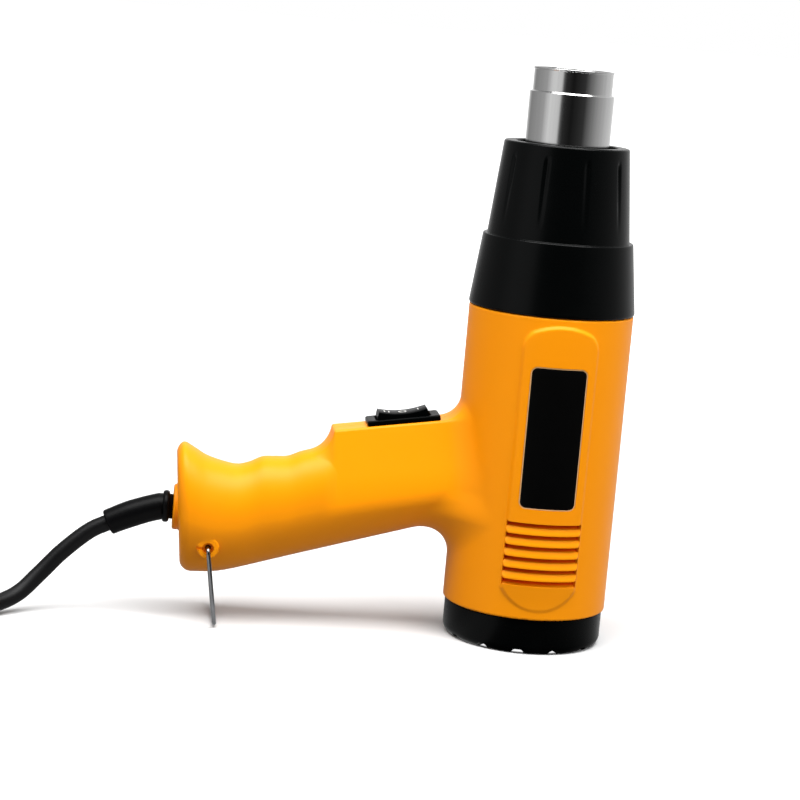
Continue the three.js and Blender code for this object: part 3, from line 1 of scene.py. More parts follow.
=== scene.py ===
# Hot air tool standing on its rear cap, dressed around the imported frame.
# Shapes are in millimetres, +Z up, handle towards -X and label towards -Y, and are scaled as meshes are made.
import math

import bmesh
import bpy
import numpy as np
from mathutils import Matrix, Vector


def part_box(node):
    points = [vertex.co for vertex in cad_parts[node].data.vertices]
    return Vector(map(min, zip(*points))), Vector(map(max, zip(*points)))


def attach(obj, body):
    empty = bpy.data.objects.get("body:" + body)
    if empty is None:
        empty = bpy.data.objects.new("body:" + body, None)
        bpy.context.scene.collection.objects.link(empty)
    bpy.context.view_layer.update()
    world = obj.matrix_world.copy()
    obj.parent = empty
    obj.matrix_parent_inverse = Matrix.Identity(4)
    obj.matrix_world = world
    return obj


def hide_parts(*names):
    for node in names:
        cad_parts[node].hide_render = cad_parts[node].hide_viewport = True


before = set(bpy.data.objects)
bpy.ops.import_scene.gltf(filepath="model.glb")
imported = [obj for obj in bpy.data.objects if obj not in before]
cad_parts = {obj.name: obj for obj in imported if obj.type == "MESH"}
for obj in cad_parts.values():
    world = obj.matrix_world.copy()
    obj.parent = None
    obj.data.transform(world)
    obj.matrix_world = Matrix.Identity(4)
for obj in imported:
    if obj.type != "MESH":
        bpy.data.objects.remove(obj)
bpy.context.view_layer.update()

# Camera
# A long lens in front of the label side, a little above the bench and rolled a few degrees.
MM = 0.001
UP = Vector((0, 0, 1))
LENS = 107.35
view_target = Vector((-60.3, 0, 97.86)) * MM
view_distance = 1000 * MM
view_turn, view_rise, view_roll = (math.radians(angle) for angle in (-6.64, 9.351, 4.965))


def add_object(name, data):
    """A new object in the scene."""
    made = bpy.data.objects.new(name, data)
    bpy.context.scene.collection.objects.link(made)
    return made


towards_camera = Vector((math.sin(view_turn) * math.cos(view_rise),
                         -math.cos(view_turn) * math.cos(view_rise), math.sin(view_rise)))
level_axis = UP.cross(towards_camera).normalized()
steep_axis = towards_camera.cross(level_axis)
right_axis = level_axis * math.cos(view_roll) + steep_axis * math.sin(view_roll)
top_axis = steep_axis * math.cos(view_roll) - level_axis * math.sin(view_roll)
camera_data = bpy.data.cameras.new("camera")
camera_data.lens = LENS
camera_data.sensor_width = 36
camera_data.clip_end = 100
camera = add_object("camera", camera_data)
camera.matrix_world = (Matrix.Translation(view_target + towards_camera * view_distance)
                       @ Matrix((right_axis, top_axis, towards_camera)).transposed().to_4x4())
bpy.context.scene.camera = camera


# Mains cord
# A round two-core lead, black PVC, about 1.5 m long. It droops from the sleeve to the bench, and the spare
# length is wound in a coil of two layers, spiralling in below and out above, up to the plug.
class Signal:
    """A socket in a node tree. Arithmetic on signals adds Math nodes."""

    def __init__(self, tree, socket=None):
        self.tree = tree
        self.socket = socket

    def node(self, kind, settings=None, inputs=None, output=0):
        """A node of any kind: its settings first, then the values or links of its sockets."""
        made = self.tree.nodes.new(kind)
        for name, value in (settings or {}).items():
            if name != "stops":
                setattr(made, name, value)
                continue
            elements = made.color_ramp.elements
            for place, colour in value[2:]:
                elements.new(place)
            for element, (place, colour) in zip(elements, sorted(value)):
                element.position = place
                element.color = colour
        for name, value in (inputs or {}).items():
            socket = made.inputs[name]
            if isinstance(value, Signal):
                self.tree.links.new(value.socket, socket)
            else:
                socket.default_value = value
        return Signal(self.tree, made.outputs[output])

    def maths(self, operation, other=0.0):
        return self.node("ShaderNodeMath", {"operation": operation}, {0: self, 1: other})

    def __add__(self, other):
        return self.maths("ADD", other)

    def __sub__(self, other):
        return self.maths("SUBTRACT", other)

    def __rsub__(self, other):
        return self.node("ShaderNodeMath", {"operation": "SUBTRACT"}, {0: other, 1: self})

    def __mul__(self, other):
        return self.maths("MULTIPLY", other)

    def __truediv__(self, other):
        return self.maths("DIVIDE", other)

    def __abs__(self):
        return self.maths("ABSOLUTE")

    __radd__ = __add__
    __rmul__ = __mul__


def srgb(red, green, blue):
    """Shader colour of a screen colour."""
    def linear(part):
        share = part / 255
        return share / 12.92 if share < 0.04045 else ((share + 0.055) / 1.055) ** 2.4
    return (linear(red), linear(green), linear(blue), 1)


def new_finish(name, fixed):
    """A material with fixed values on its shader; gives it, a start for its nodes, and its shader."""
    finish = bpy.data.materials.new(name)
    finish.use_nodes = True
    shader = finish.node_tree.nodes["Principled BSDF"]
    for socket, value in fixed.items():
        shader.inputs[socket].default_value = value
    return finish, Signal(finish.node_tree), shader


def feed(shader, **signals):
    """Links signals to the shader's sockets, named with _ for a space."""
    for name, signal in signals.items():
        signal.tree.links.new(signal.socket, shader.inputs[name.replace("_", " ").title()])


def mottle(start, size, detail=2.0, stretch=(1, 1, 1)):
    """Soft noise from 0 to 1 with patches of a size in millimetres."""
    place = start.node("ShaderNodeTexCoord", output="Object")
    place = start.node("ShaderNodeMapping", inputs={"Vector": place, "Scale": stretch})
    sizes = {"Vector": place, "Scale": 1 / (size * MM), "Detail": detail}
    return start.node("ShaderNodeTexNoise", inputs=sizes)


def blend_colour(share, first, second):
    return share.node("ShaderNodeMix", {"data_type": "RGBA"}, {0: share, 6: first, 7: second}, output=2)


def relief(height, depth):
    """Bump of a height signal, its depth in millimetres."""
    return height.node("ShaderNodeBump", inputs={"Height": height, "Distance": depth * MM, "Strength": 1.0})


def plain_stock(name, dark, light, patch, rough, grain, depth, sheen=0.5, metal=0.0, spread=0.08,
                stretch=(1, 1, 1)):
    """Everyday material: two close screen colours in patches, uneven roughness and a fine grain."""
    finish, start, shader = new_finish(name, {"Specular IOR Level": sheen, "Metallic": metal})
    feed(shader, base_color=blend_colour(mottle(start, patch, 3, stretch), srgb(*dark), srgb(*light)),
         roughness=rough + spread * (mottle(start, patch / 3, 3, stretch) - 0.5),
         normal=relief(mottle(start, grain, 2, stretch), depth))
    return finish


def seat(piece, body, slot, *nodes):
    """The piece rides on a body and stands for CAD nodes, which it hides; the slot is not used."""
    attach(piece, body)
    if nodes:
        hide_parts(*nodes)


CORD_DIAMETER = 7.0
CORD_RADIUS = CORD_DIAMETER / 2
CUT_GAP = 0.3
IN_SLEEVE = 4.0
COIL_TURNS = 5
COIL_INNER_RADIUS = 28.0
COIL_PITCH = CORD_DIAMETER + 0.6
COIL_MIDDLE = Vector((-279, 0, 0))
COIL_LIFT = 1.1
COIL_RUN_IN = 9.0
STEPS_PER_TURN = 48
ROUTE_SPACING = 2.0
PLUG_HALF_HEIGHT = 11.0
sleeve_start = Vector((-156.0, 0, 46.35))
sleeve_bend = sleeve_start + Vector((-10.5, 0, -2.5))
sleeve_end = sleeve_start + Vector((-22.3, 0, -8.6))
sleeve_heading = (sleeve_end - sleeve_bend).normalized()


def smooth_path(points):
    """Points a route's spacing apart, or less, on a smooth curve through a row of points."""
    ends = [2 * points[0] - points[1], *points, 2 * points[-1] - points[-2]]
    path = []
    for a, b, c, d in zip(ends, ends[1:], ends[2:], ends[3:]):
        before, across, after = (math.sqrt((q - p).length) for p, q in ((a, b), (b, c), (c, d)))
        leave = ((b - a) / before - (c - a) / (before + across) + (c - b) / across) * across
        arrive = ((c - b) / across - (d - b) / (across + after) + (d - c) / after) * across
        steps = max(2, round((c - b).length / ROUTE_SPACING))
        for i in range(steps):
            t = i / steps
            path.append(b * (2 * t**3 - 3 * t**2 + 1) + leave * (t**3 - 2 * t**2 + t)
                        + c * (3 * t**2 - 2 * t**3) + arrive * (t**3 - t**2))
    return path + [points[-1]]


def coil_point(turns):
    """Middle of the cord a number of turns into the coil."""
    from_middle = turns - COIL_TURNS / 2
    radius = COIL_INNER_RADIUS + COIL_PITCH * abs(from_middle)
    climb = min(max(2 * from_middle + 0.5, 0), 1)
    angle = -math.pi / 2 - 2 * math.pi * turns
    height = COIL_LIFT + CORD_RADIUS + COIL_PITCH * climb
    return COIL_MIDDLE + Vector((radius * math.cos(angle), radius * math.sin(angle), height))


coil = [coil_point(i / STEPS_PER_TURN) for i in range(COIL_TURNS * STEPS_PER_TURN + 1)]
coil_start = coil[0] + Vector((CORD_DIAMETER, 0, 0))
coil_end = coil[-1] - Vector((CORD_DIAMETER, 0, 0))
lead_start = sleeve_end + sleeve_heading * CUT_GAP
lead_end = coil_start + Vector((CUT_GAP, 0, 0))
lead_route = ((-196, -2, 25), (-205, -5, 15.5), (-213, -10, 8), (-222, -17, 4.6), (-232, -26, 3.9),
              (-243, -36, 4.2), (-257, -46, 4.5))
lead = [lead_start, lead_start + sleeve_heading * CORD_DIAMETER, *map(Vector, lead_route),
        lead_end + Vector((COIL_RUN_IN, 0, 0)), lead_end]
coil_top = COIL_LIFT + CORD_DIAMETER + COIL_PITCH
tail_start = coil_end - Vector((CUT_GAP, 0, 0))
tail_end = COIL_MIDDLE + Vector((-10.5, 30.8, coil_top + 2 * CUT_GAP + PLUG_HALF_HEIGHT))
tail_route = ((-20, -44.3, 13.2), (-34, -34, 15.2), (-44.6, -15, 18.2), (-45.6, 4.5, 21), (-37.6, 21.5, 23.6),
              (-26, 30, 26))
tail = [tail_start, tail_start - Vector((CORD_RADIUS, 0, 0)), *[COIL_MIDDLE + Vector(p) for p in tail_route],
        tail_end + Vector((-7.8, 1.2, 0)), tail_end]
cord_path = [sleeve_end - sleeve_heading * IN_SLEEVE, *smooth_path(lead), *coil, *smooth_path(tail)]
cord_curve = bpy.data.curves.new("mains_cord", "CURVE")
cord_curve.dimensions = "3D"
cord_curve.bevel_depth = CORD_RADIUS * MM
cord_curve.bevel_resolution = 6
cord_curve.use_fill_caps = True
cord_spline = cord_curve.splines.new("POLY")
cord_spline.points.add(len(cord_path) - 1)
for knot, place in zip(cord_spline.points, cord_path):
    knot.co = (*(place * MM), 1)
cord_spline.use_smooth = True
sheath = plain_stock("cord_sheath", (5, 5, 6), (9, 9, 10), 18, 0.46, 0.5, 0.02, sheen=0.18)
cord_curve.materials.append(sheath)
mains_cord = add_object("mains_cord", cord_curve)
seat(mains_cord, "housing", "cord", "cord_lead", "cord_coil", "cord_tail")


# Plug
# Two-pin contour plug moulded onto the cord in one shot of black PVC: a round neck with bend ribs, an oval
# body with grip ridges across it, and a flat face for the pins.
def skin(rings, loop=False):
    """Corners and faces of a closed skin over rings with equal counts of points."""
    count = len(rings[0])
    points = [p for ring in rings for p in ring]
    pairs = [(i, (i + 1) % len(rings)) for i in range(len(rings) if loop else len(rings) - 1)]
    faces = [(a * count + j, a * count + (j + 1) % count, b * count + (j + 1) % count, b * count + j)
             for a, b in pairs for j in range(count)]
    if not loop:
        faces.append(tuple(reversed(range(count))))
        faces.append(tuple(range(len(points) - count, len(points))))
    return points, faces


def soften(mesh, sharp):
    """Smooth shading but for edges sharper than an angle in degrees."""
    mesh.polygons.foreach_set("use_smooth", [True] * len(mesh.polygons))
    mesh.set_sharp_from_angle(angle=math.radians(sharp))


def make_piece(name, shape, finish=None, sharp=35):
    """Mesh object from corners in millimetres and faces; a tool for cutting has no finish."""
    points, faces = shape
    mesh = bpy.data.meshes.new(name)
    mesh.from_pydata([Vector(p) * MM for p in points], [], faces)
    work = bmesh.new()
    work.from_mesh(mesh)
    bmesh.ops.remove_doubles(work, verts=work.verts, dist=1e-7)
    bmesh.ops.recalc_face_normals(work, faces=work.faces)
    work.to_mesh(mesh)
    work.free()
    soften(mesh, sharp)
    mesh.materials.append(finish)
    return add_object(name, mesh)


def curve_through(pairs):
    """Smooth function through pairs of place and value, level beyond its ends."""
    places, values = np.array(pairs, float).T
    numbers = np.arange(len(places))
    before = np.maximum(numbers - 1, 0)
    after = np.minimum(numbers + 1, len(places) - 1)
    slopes = (values[after] - values[before]) / (places[after] - places[before])

    def curve(at):
        at = np.clip(at, places[0], places[-1])
        i = np.clip(np.searchsorted(places, at, side="right") - 1, 0, len(places) - 2)
        span = places[i + 1] - places[i]
        t = (at - places[i]) / span
        ease = t * t * (3 - 2 * t)
        bend = t * (1 - t) * span * (slopes[i] * (1 - t) - slopes[i + 1] * t)
        return values[i] * (1 - ease) + values[i + 1] * ease + bend
    return curve


def circle(count):
    """Cosine and sine of equal steps round a full turn."""
    return [(math.cos(turn), math.sin(turn)) for turn in (2 * math.pi * k / count for k in range(count))]


def spokes(degrees):
    """Cosine and sine of each of some angles in degrees."""
    return [(math.cos(turn), math.sin(turn)) for turn in map(math.radians, degrees)]


PLUG_LENGTH = 36.0
PLUG_HALF_WIDTH = 15.5
PLUG_NECK_RADIUS = 4.8
PLUG_FACE_ROUND = 1.4
PLUG_SIDES = 56
PLUG_STEPS = 90
NECK_RIBS = 4
NECK_RIB_DEPTH = 0.55
NECK_SHARE = 0.24
GRIP_RIDGES = 5
GRIP_RIDGE_DEPTH = 0.5
GRIP_START = 0.5
GRIP_SHARE = 0.42
GRIP_FLANK_POWER = 6
plug_heading = (cord_path[-1] - cord_path[-2]).normalized()
plug_across = plug_heading.cross(UP).normalized()
plug_up = plug_across.cross(plug_heading)
plug_swell = curve_through([(0, 0), (0.22, 0.04), (0.34, 0.5), (0.46, 0.85), (0.62, 1), (1, 1)])


def ribs(depth, count, share):
    """Depth of a row of ribs a share of the way along the row."""
    return depth * (0.5 - 0.5 * math.cos(2 * math.pi * count * min(max(share, 0), 1)))


def plug_ring(along, draw):
    """Ring of the plug's outside at a distance along it, drawn in by an amount."""
    share = along / PLUG_LENGTH
    swell = float(plug_swell(share))
    draw += ribs(NECK_RIB_DEPTH, NECK_RIBS, share / NECK_SHARE)
    ridge = ribs(GRIP_RIDGE_DEPTH, GRIP_RIDGES, (share - GRIP_START) / GRIP_SHARE)
    middle = tail_end + plug_heading * (CUT_GAP + along * (1 - CUT_GAP / PLUG_LENGTH))
    wide = PLUG_NECK_RADIUS + (PLUG_HALF_WIDTH - PLUG_NECK_RADIUS) * swell - draw
    high = PLUG_NECK_RADIUS + (PLUG_HALF_HEIGHT - PLUG_NECK_RADIUS) * swell - draw
    ring = []
    for across, up in circle(PLUG_SIDES):
        ridged = wide - ridge * abs(across) ** GRIP_FLANK_POWER
        ring.append(middle + plug_across * ridged * across + plug_up * high * up)
    return ring


plug_rings = [plug_ring((PLUG_LENGTH - PLUG_FACE_ROUND) * i / PLUG_STEPS, 0) for i in range(PLUG_STEPS + 1)]
plug_rings += [plug_ring(PLUG_LENGTH - PLUG_FACE_ROUND * (1 - sine), PLUG_FACE_ROUND * (1 - cosine))
               for cosine, sine in spokes((20, 40, 60, 75, 90))]
plug_pvc = plain_stock("plug_pvc", (12, 12, 13), (21, 21, 22), 14, 0.5, 0.35, 0.03, sheen=0.4)
plug = make_piece("plug", skin(plug_rings), plug_pvc, 50)
seat(plug, "housing", "plug", "plug_body")


# Plug pins
# Two nickel-plated brass pins, turned from bar with domed ends, that the plug is moulded onto.
def round_rings(stations, sides):
    """Rings of points round a path; each station is a point, the heading there and a radius."""
    first_heading = stations[0][1]
    side = first_heading.cross(UP)
    if side.length < 0.1:
        side = first_heading.cross(Vector((1, 0, 0)))
    side.normalize()
    rings = []
    for point, heading, radius in stations:
        side = (side - heading * side.dot(heading)).normalized()
        rise = heading.cross(side)
        rings.append([point + (side * across + rise * up) * radius for across, up in circle(sides)])
    return rings


PIN_RADIUS = 2.4
PIN_LENGTH = 19.0
PIN_PITCH = 19.0
PIN_ROOT = 2.0
PIN_POLE = 0.02
PIN_SIDES = 32
plated = plain_stock("plated_pins", (176, 170, 158), (200, 195, 184), 6, 0.24, 0.4, 0.004, metal=1.0)
pin_profile = [(-PIN_ROOT, PIN_RADIUS), (0.0, PIN_RADIUS), (PIN_LENGTH - PIN_RADIUS, PIN_RADIUS)]
pin_profile += [(PIN_LENGTH - PIN_RADIUS * (1 - sine), max(PIN_RADIUS * cosine, PIN_POLE))
                for cosine, sine in spokes(range(15, 91, 15))]
for number, side in ((1, -1), (2, 1)):
    foot = tail_end + plug_heading * PLUG_LENGTH + plug_across * side * PIN_PITCH / 2
    stations = [(foot + plug_heading * along, plug_heading, radius) for along, radius in pin_profile]
    pin = make_piece(f"pin_{number}", skin(round_rings(stations, PIN_SIDES)), plated)
    seat(pin, "housing", "pin", f"plug_pin_{number}")

# Coil tie
# A strap of black hook-and-loop tape round the coil's turns, its free end pressed down over itself.
# The tape is a flat band that follows the stack of turns with rounded corners.
TIE_WIDTH = 9.0
TIE_THICKNESS = 0.8
TIE_BEVEL = 0.2


def rounded(corners, closed=True, step=12):
    """Outline whose corners, each x, y and radius, are turned into arcs."""
    outline = []
    for i, (x, y, radius) in enumerate(corners):
        here = Vector((x, y))
        if not radius or (not closed and i in (0, len(corners) - 1)):
            outline.append(here)
            continue
        to_last = (Vector(corners[i - 1][:2]) - here).normalized()
        to_next = (Vector(corners[(i + 1) % len(corners)][:2]) - here).normalized()
        half = to_last.angle(to_next) / 2
        middle = here + (to_last + to_next).normalized() * (radius / math.sin(half))
        first = here + to_last * (radius / math.tan(half)) - middle
        last = here + to_next * (radius / math.tan(half)) - middle
        sweep = first.angle(last)
        count = max(2, math.ceil(math.degrees(sweep) / step))
        for k in range(count + 1):
            share = k / count
            spoke = first * math.sin((1 - share) * sweep) + last * math.sin(share * sweep)
            outline.append(middle + spoke / math.sin(sweep))
    return outline


# The strap bears on these turns of the stack, in order round it, where they cross the side next to the tool.
bearing_turns = [(coil_point(turns) - COIL_MIDDLE).xz for turns in (1.75, 0.75, 4.75, 2.75)]


def tie_outline(layers):
    """Outline of the strap's face that lies a number of layers of tape out from the turns."""
    out = CORD_RADIUS + CUT_GAP + layers * TIE_THICKNESS
    corners = []
    for i, turn in enumerate(bearing_turns):
        arriving = (turn - bearing_turns[i - 1]).normalized()
        leaving = (bearing_turns[(i + 1) % len(bearing_turns)] - turn).normalized()
        spread = out / (1 + arriving.dot(leaving))
        corners.append((turn.x + (arriving.y + leaving.y) * spread,
                        turn.y - (arriving.x + leaving.x) * spread, out))
    return rounded(corners)


def tape_band(layer):
    """Sections of a layer of the tape round the stack, its outer edges bevelled."""
    half = TIE_WIDTH / 2
    bevelled = half - TIE_BEVEL
    sections = []
    for outer, inner in zip(tie_outline(layer + 1), tie_outline(layer)):
        corners = [(outer, -bevelled), (outer, bevelled), (inner, half), (inner, -half)]
        sections.append([COIL_MIDDLE + Vector((face.x, across, face.y)) for face, across in corners])
    return sections


tape = plain_stock("woven_tape", (14, 14, 15), (30, 30, 32), 1.1, 0.85, 0.5, 0.12, spread=0.1)
strap_points, strap_faces = skin(tape_band(0), loop=True)
second_layer = tape_band(1)
# the free end runs from one of these sections of the band to the other, and a little way over the top
OUTER_SIDE_FOOT, TOP_START = 13, 24
tongue = second_layer[OUTER_SIDE_FOOT:TOP_START + 1]
for share, narrowing in ((0.5, 1), (0.57, 0.85), (0.6, 0.5)):
    across_top = zip(second_layer[TOP_START], second_layer[TOP_START + 1])
    tongue.append([Vector((1, narrowing, 1)) * a.lerp(b, share) for a, b in across_top])
tongue_points, tongue_faces = skin(tongue)
strap_faces += [[corner + len(strap_points) for corner in face] for face in tongue_faces]
coil_tie = make_piece("coil_strap", (strap_points + tongue_points, strap_faces), tape, 40)
seat(coil_tie, "housing", "tie", "coil_tie")

# Strain relief
# Soft black sleeve moulded over the cord: a flange inside the butt, a neck through its boss, a bead outside
# and a slack tube that bends down with the cord and is left open round it.
RELIEF_SIDES = 48
NECK_RADIUS = 5.2
BEAD_RADIUS = 6.7
BEAD_LENGTH = 2.8
BEAD_POWER = 0.6
BEAD_GROOVE = 0.3
SLEEVE_RADIUS = 5.6
SLEEVE_STEPS = 31
SLACK_SWELL = 0.14
SLACK_PLACE = 0.62
SLACK_SPREAD = 0.2
TIP_RADIUS = 5.4
TIP_ROUND = 0.8
MOUTH_FLARE = 0.4
MOUTH_DEPTH = 0.5
BORE_CLEARANCE = 0.25
BORE_DEPTH = IN_SLEEVE - 0.6
FLANGE_RADIUS = 8.0
FLANGE_LENGTH = 2.4
FLANGE_ROUND = 0.4
butt_x = -149.5
flange_x = butt_x + 5.0
flange_end = flange_x + FLANGE_LENGTH
bead_x = sleeve_start.x + BEAD_LENGTH
bead_foot = SLEEVE_RADIUS - BEAD_GROOVE
bore_radius = CORD_RADIUS + BORE_CLEARANCE


def on_sleeve(t):
    """Point and heading a share of the way down the sleeve."""
    point = sleeve_start * (1 - t) ** 2 + sleeve_bend * 2 * t * (1 - t) + sleeve_end * t**2
    heading = (sleeve_bend - sleeve_start) * (1 - t) + (sleeve_end - sleeve_bend) * t
    return point, heading.normalized()


relief_profile = [
    (flange_end, FLANGE_RADIUS - FLANGE_ROUND), (flange_end - FLANGE_ROUND, FLANGE_RADIUS),
    (flange_x, FLANGE_RADIUS), (flange_x, NECK_RADIUS), (bead_x + 0.1, NECK_RADIUS)]
relief_profile += [(bead_x - BEAD_LENGTH * (1 - cosine) / 2,
                    bead_foot + (BEAD_RADIUS - bead_foot) * sine**BEAD_POWER)
                   for cosine, sine in spokes(range(0, 181, 15))]
straight_out = Vector((-1, 0, 0))
relief_stations = [(Vector((x, 0, sleeve_start.z)), straight_out, radius) for x, radius in relief_profile]
for i in range(1, SLEEVE_STEPS):
    share = i / SLEEVE_STEPS
    slack = SLACK_SWELL * math.exp(-((share - SLACK_PLACE) / SLACK_SPREAD) ** 2)
    relief_stations.append((*on_sleeve(share), SLEEVE_RADIUS + (TIP_RADIUS - SLEEVE_RADIUS) * share + slack))
tip = [(TIP_ROUND * (1 - sine), TIP_RADIUS - TIP_ROUND * (1 - cosine))
       for cosine, sine in spokes((0, 30, 60, 90))]
tip += [(0.0, bore_radius + MOUTH_FLARE), (MOUTH_DEPTH, bore_radius), (BORE_DEPTH, bore_radius)]
relief_stations += [(sleeve_end - sleeve_heading * depth, sleeve_heading, radius) for depth, radius in tip]
soft_rubber = plain_stock("sleeve_rubber", (3, 3, 4), (6, 6, 7), 9, 0.4, 0.4, 0.02, sheen=0.08)
relief_piece = make_piece("cord_sleeve", skin(round_rings(relief_stations, RELIEF_SIDES)), soft_rubber, 50)
seat(relief_piece, "housing", "sleeve", "strain_relief")

# Housing halves
# The clamshell: barrel, handle and switch block moulded in glass-filled nylon, two halves that meet on the
# middle plane. Every fillet is part of the form, so it is drawn as one distance field and skinned.
shell_low, shell_high = (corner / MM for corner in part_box("left_housing"))
BARREL_RADIUS = shell_high.x
PANEL_RADIUS = -shell_low.y
RIM_LOW = shell_low.z
RIM_HIGH = shell_high.z
WALL = 2.5
RIM_ROUND = 0.7
HANDLE_LENGTH = 115.0
HANDLE_HALF_WIDTH = 17.0
BUTT_HALF_WIDTH = 19.8
BUTT_ROUND = 4.5
BUTT_LEAN = 0.09
BUTT_UNDERSIDE = 4.1
SHOULDER = 70.0
UNDERSIDE_ROOT = 33.8
UNDERSIDE_SLOPE = 0.3
UNDERSIDE_BEND = 4.0
UNDERSIDE_FILLET = 16.5
SIDE_FILLET = 8.0
FILLET_CHANGE_TOP = 50.0
FILLET_CHANGE = 14.0
SECTION_POWER = 2.3
UNDER_POWER = 1.8
WAIST_SHARE = 0.47
CORD_HEIGHT = sleeve_start.z - RIM_LOW
LAND_HEIGHT = 74.1
LAND_CENTRE = 23.8
LAND_ANGLE = math.radians(9)
LAND_HALF_WIDTH = 8.0
BLOCK_FOOT_HALF_WIDTH = 15.4
BLOCK_HEIGHT = 24.0
BLOCK_END = 53.0
BLOCK_EDGE = 0.8
BLOCK_FADE = 8.0
BLOCK_END_FILLET = 8.5
CREST_RISE = 8.0
CREST_HALF_WIDTH = 7.0
CREST_FADE = 6.0
FLANK_BLEND = 3.0
ROOT_DEPTH = 20.0
PANEL_HALF_WIDTH = 15.6
PANEL_END_RADIUS = 18.0
PANEL_TOP_RADIUS = 27.0
PANEL_CORNER = 4.0
PANEL_LOW = RIM_LOW + 3.6
PANEL_HIGH = RIM_HIGH - 3.2
PANEL_EDGE = 1.15
PANEL_FOOT = 0.8
LOBE_TOP = RIM_LOW + 15.0
LOBE_TAPER = PANEL_RADIUS - BARREL_RADIUS - 0.2
BUTT_BOSS_RADIUS = 9.5
BUTT_BOSS_EDGE = 0.8
BUTT_BOSS_FOOT = 0.6
BAIL_PIVOT = Vector((-136.5, 0, 33.4))
BAIL_BOSS_RADIUS = 4.5
BAIL_BOSS_RAISE = 1.2
BAIL_BOSS_EDGE = 0.5
BAIL_BOSS_FOOT = 0.3
grip_length = HANDLE_LENGTH - BLOCK_END
finger_hollows = [
    (0.05, -9.1), (0.12, -10.4), (0.2, -12), (0.28, -14.2), (0.365, -14.7), (0.445, -15.2), (0.525, -17.7),
    (0.6, -19), (0.685, -18.3), (0.805, -16), (0.89, -12.8), (0.95, -10.9), (1, -11.4)]
grip_top = curve_through([
    (0, SHOULDER), (0.4 * BLOCK_END, SHOULDER - 2), (0.85 * BLOCK_END, SHOULDER - 5),
    *[(BLOCK_END + share * grip_length, SHOULDER + drop) for share, drop in finger_hollows]])
butt_swell = [(35, 0), (20, 0.36), (9, 0.93), (0, 1)]
grip_half = curve_through([(0, HANDLE_HALF_WIDTH)] + [
    (HANDLE_LENGTH - before, HANDLE_HALF_WIDTH + share * (BUTT_HALF_WIDTH - HANDLE_HALF_WIDTH))
    for before, share in butt_swell])


def ease(share):
    """Smooth step from 0 to 1."""
    share = np.clip(share, 0, 1)
    return share * share * (3 - 2 * share)


def fillet(first, second, radius):
    """Union of two distance fields with a concave round where they meet."""
    corner = np.hypot(np.maximum(radius - first, 0), np.maximum(radius - second, 0))
    return np.maximum(radius, np.minimum(first, second)) - corner


def round_edge(first, second, radius):
    """Overlap of two distance fields with a convex round where they meet."""
    corner = np.hypot(np.maximum(radius + first, 0), np.maximum(radius + second, 0))
    return np.minimum(-radius, np.maximum(first, second)) + corner


def soft_edge(first, second, width):
    """Overlap of two distance fields that meet at a shallow angle, eased over a width."""
    near = np.maximum(width - np.abs(first - second), 0)
    return np.maximum(first, second) + near * near / (4 * width)


def grip_bottom(along):
    """Height of the handle's underside, which falls from its root and runs level to the butt."""
    fall = UNDERSIDE_ROOT - UNDERSIDE_SLOPE * along - BUTT_UNDERSIDE
    return BUTT_UNDERSIDE + (fall + np.sqrt(fall * fall + UNDERSIDE_BEND)) / 2


def grip_field(x, y, z):
    """Handle with its finger hollows, and the switch block that stands on it."""
    up = z - RIM_LOW
    out = -BARREL_RADIUS - x
    lean = BUTT_LEAN * ease(2 * out / HANDLE_LENGTH - 1)
    along = out - lean * (up - CORD_HEIGHT)
    top, bottom, half = grip_top(along), grip_bottom(along), grip_half(along)
    waist = bottom + (top - bottom) * WAIST_SHARE
    reach = np.where(up > waist, top - waist, waist - bottom)
    power = np.where(up > waist, SECTION_POWER, UNDER_POWER)

    def oval(high):
        wide = np.abs(y) / half
        swell = np.maximum((wide**power + high**power) ** (1 / power), 0.05)
        slope = np.hypot((wide / swell) ** (power - 1) / half, (high / swell) ** (power - 1) / reach)
        return (swell - 1) / slope

    land = LAND_HEIGHT + (LAND_CENTRE - out) * math.tan(LAND_ANGLE)
    flare = (BLOCK_FOOT_HALF_WIDTH - LAND_HALF_WIDTH) / BLOCK_HEIGHT
    flank = (np.abs(y) - LAND_HALF_WIDTH - (land - up) * flare) / math.hypot(1, flare)
    handle = oval(np.abs(up - waist) / reach)
    under_block = 1 - ease((out - BLOCK_END + BLOCK_FADE / 2) / BLOCK_FADE)
    handle = handle + (soft_edge(handle, flank, FLANK_BLEND) - handle) * under_block
    handle = round_edge(handle, along - HANDLE_LENGTH, BUTT_ROUND)
    block = soft_edge(oval(np.maximum(waist - up, 0) / reach), flank, FLANK_BLEND)
    block = round_edge((up - land) * math.cos(LAND_ANGLE), block, BLOCK_EDGE)
    block = round_edge(block, out - BLOCK_END, BLOCK_EDGE)
    on_crest = ease((up - waist) / CREST_RISE) * (1 - ease((np.abs(y) - CREST_HALF_WIDTH) / CREST_FADE))
    blend = BLOCK_END_FILLET * ease(out - BLOCK_END + 1) * on_crest
    grip = np.where(blend > 0.01, fillet(handle, block, blend), np.minimum(handle, block))
    return np.maximum(grip, -out - ROOT_DEPTH)


def side_reach(x, z):
    """How far out the handle's side lies at a point of its middle plane."""
    rows = np.linspace(0, 2 * BUTT_HALF_WIDTH, 400)
    return float(np.interp(0, grip_field(x, rows, z), rows))


BAIL_BOSS_REACH = side_reach(BAIL_PIVOT.x, BAIL_PIVOT.z) + BAIL_BOSS_RAISE


def arched_end(x, past, radius):
    """Field of the panel's round end, past being the distance beyond its tip."""
    return np.hypot(x, np.maximum(past + radius, 0)) - radius


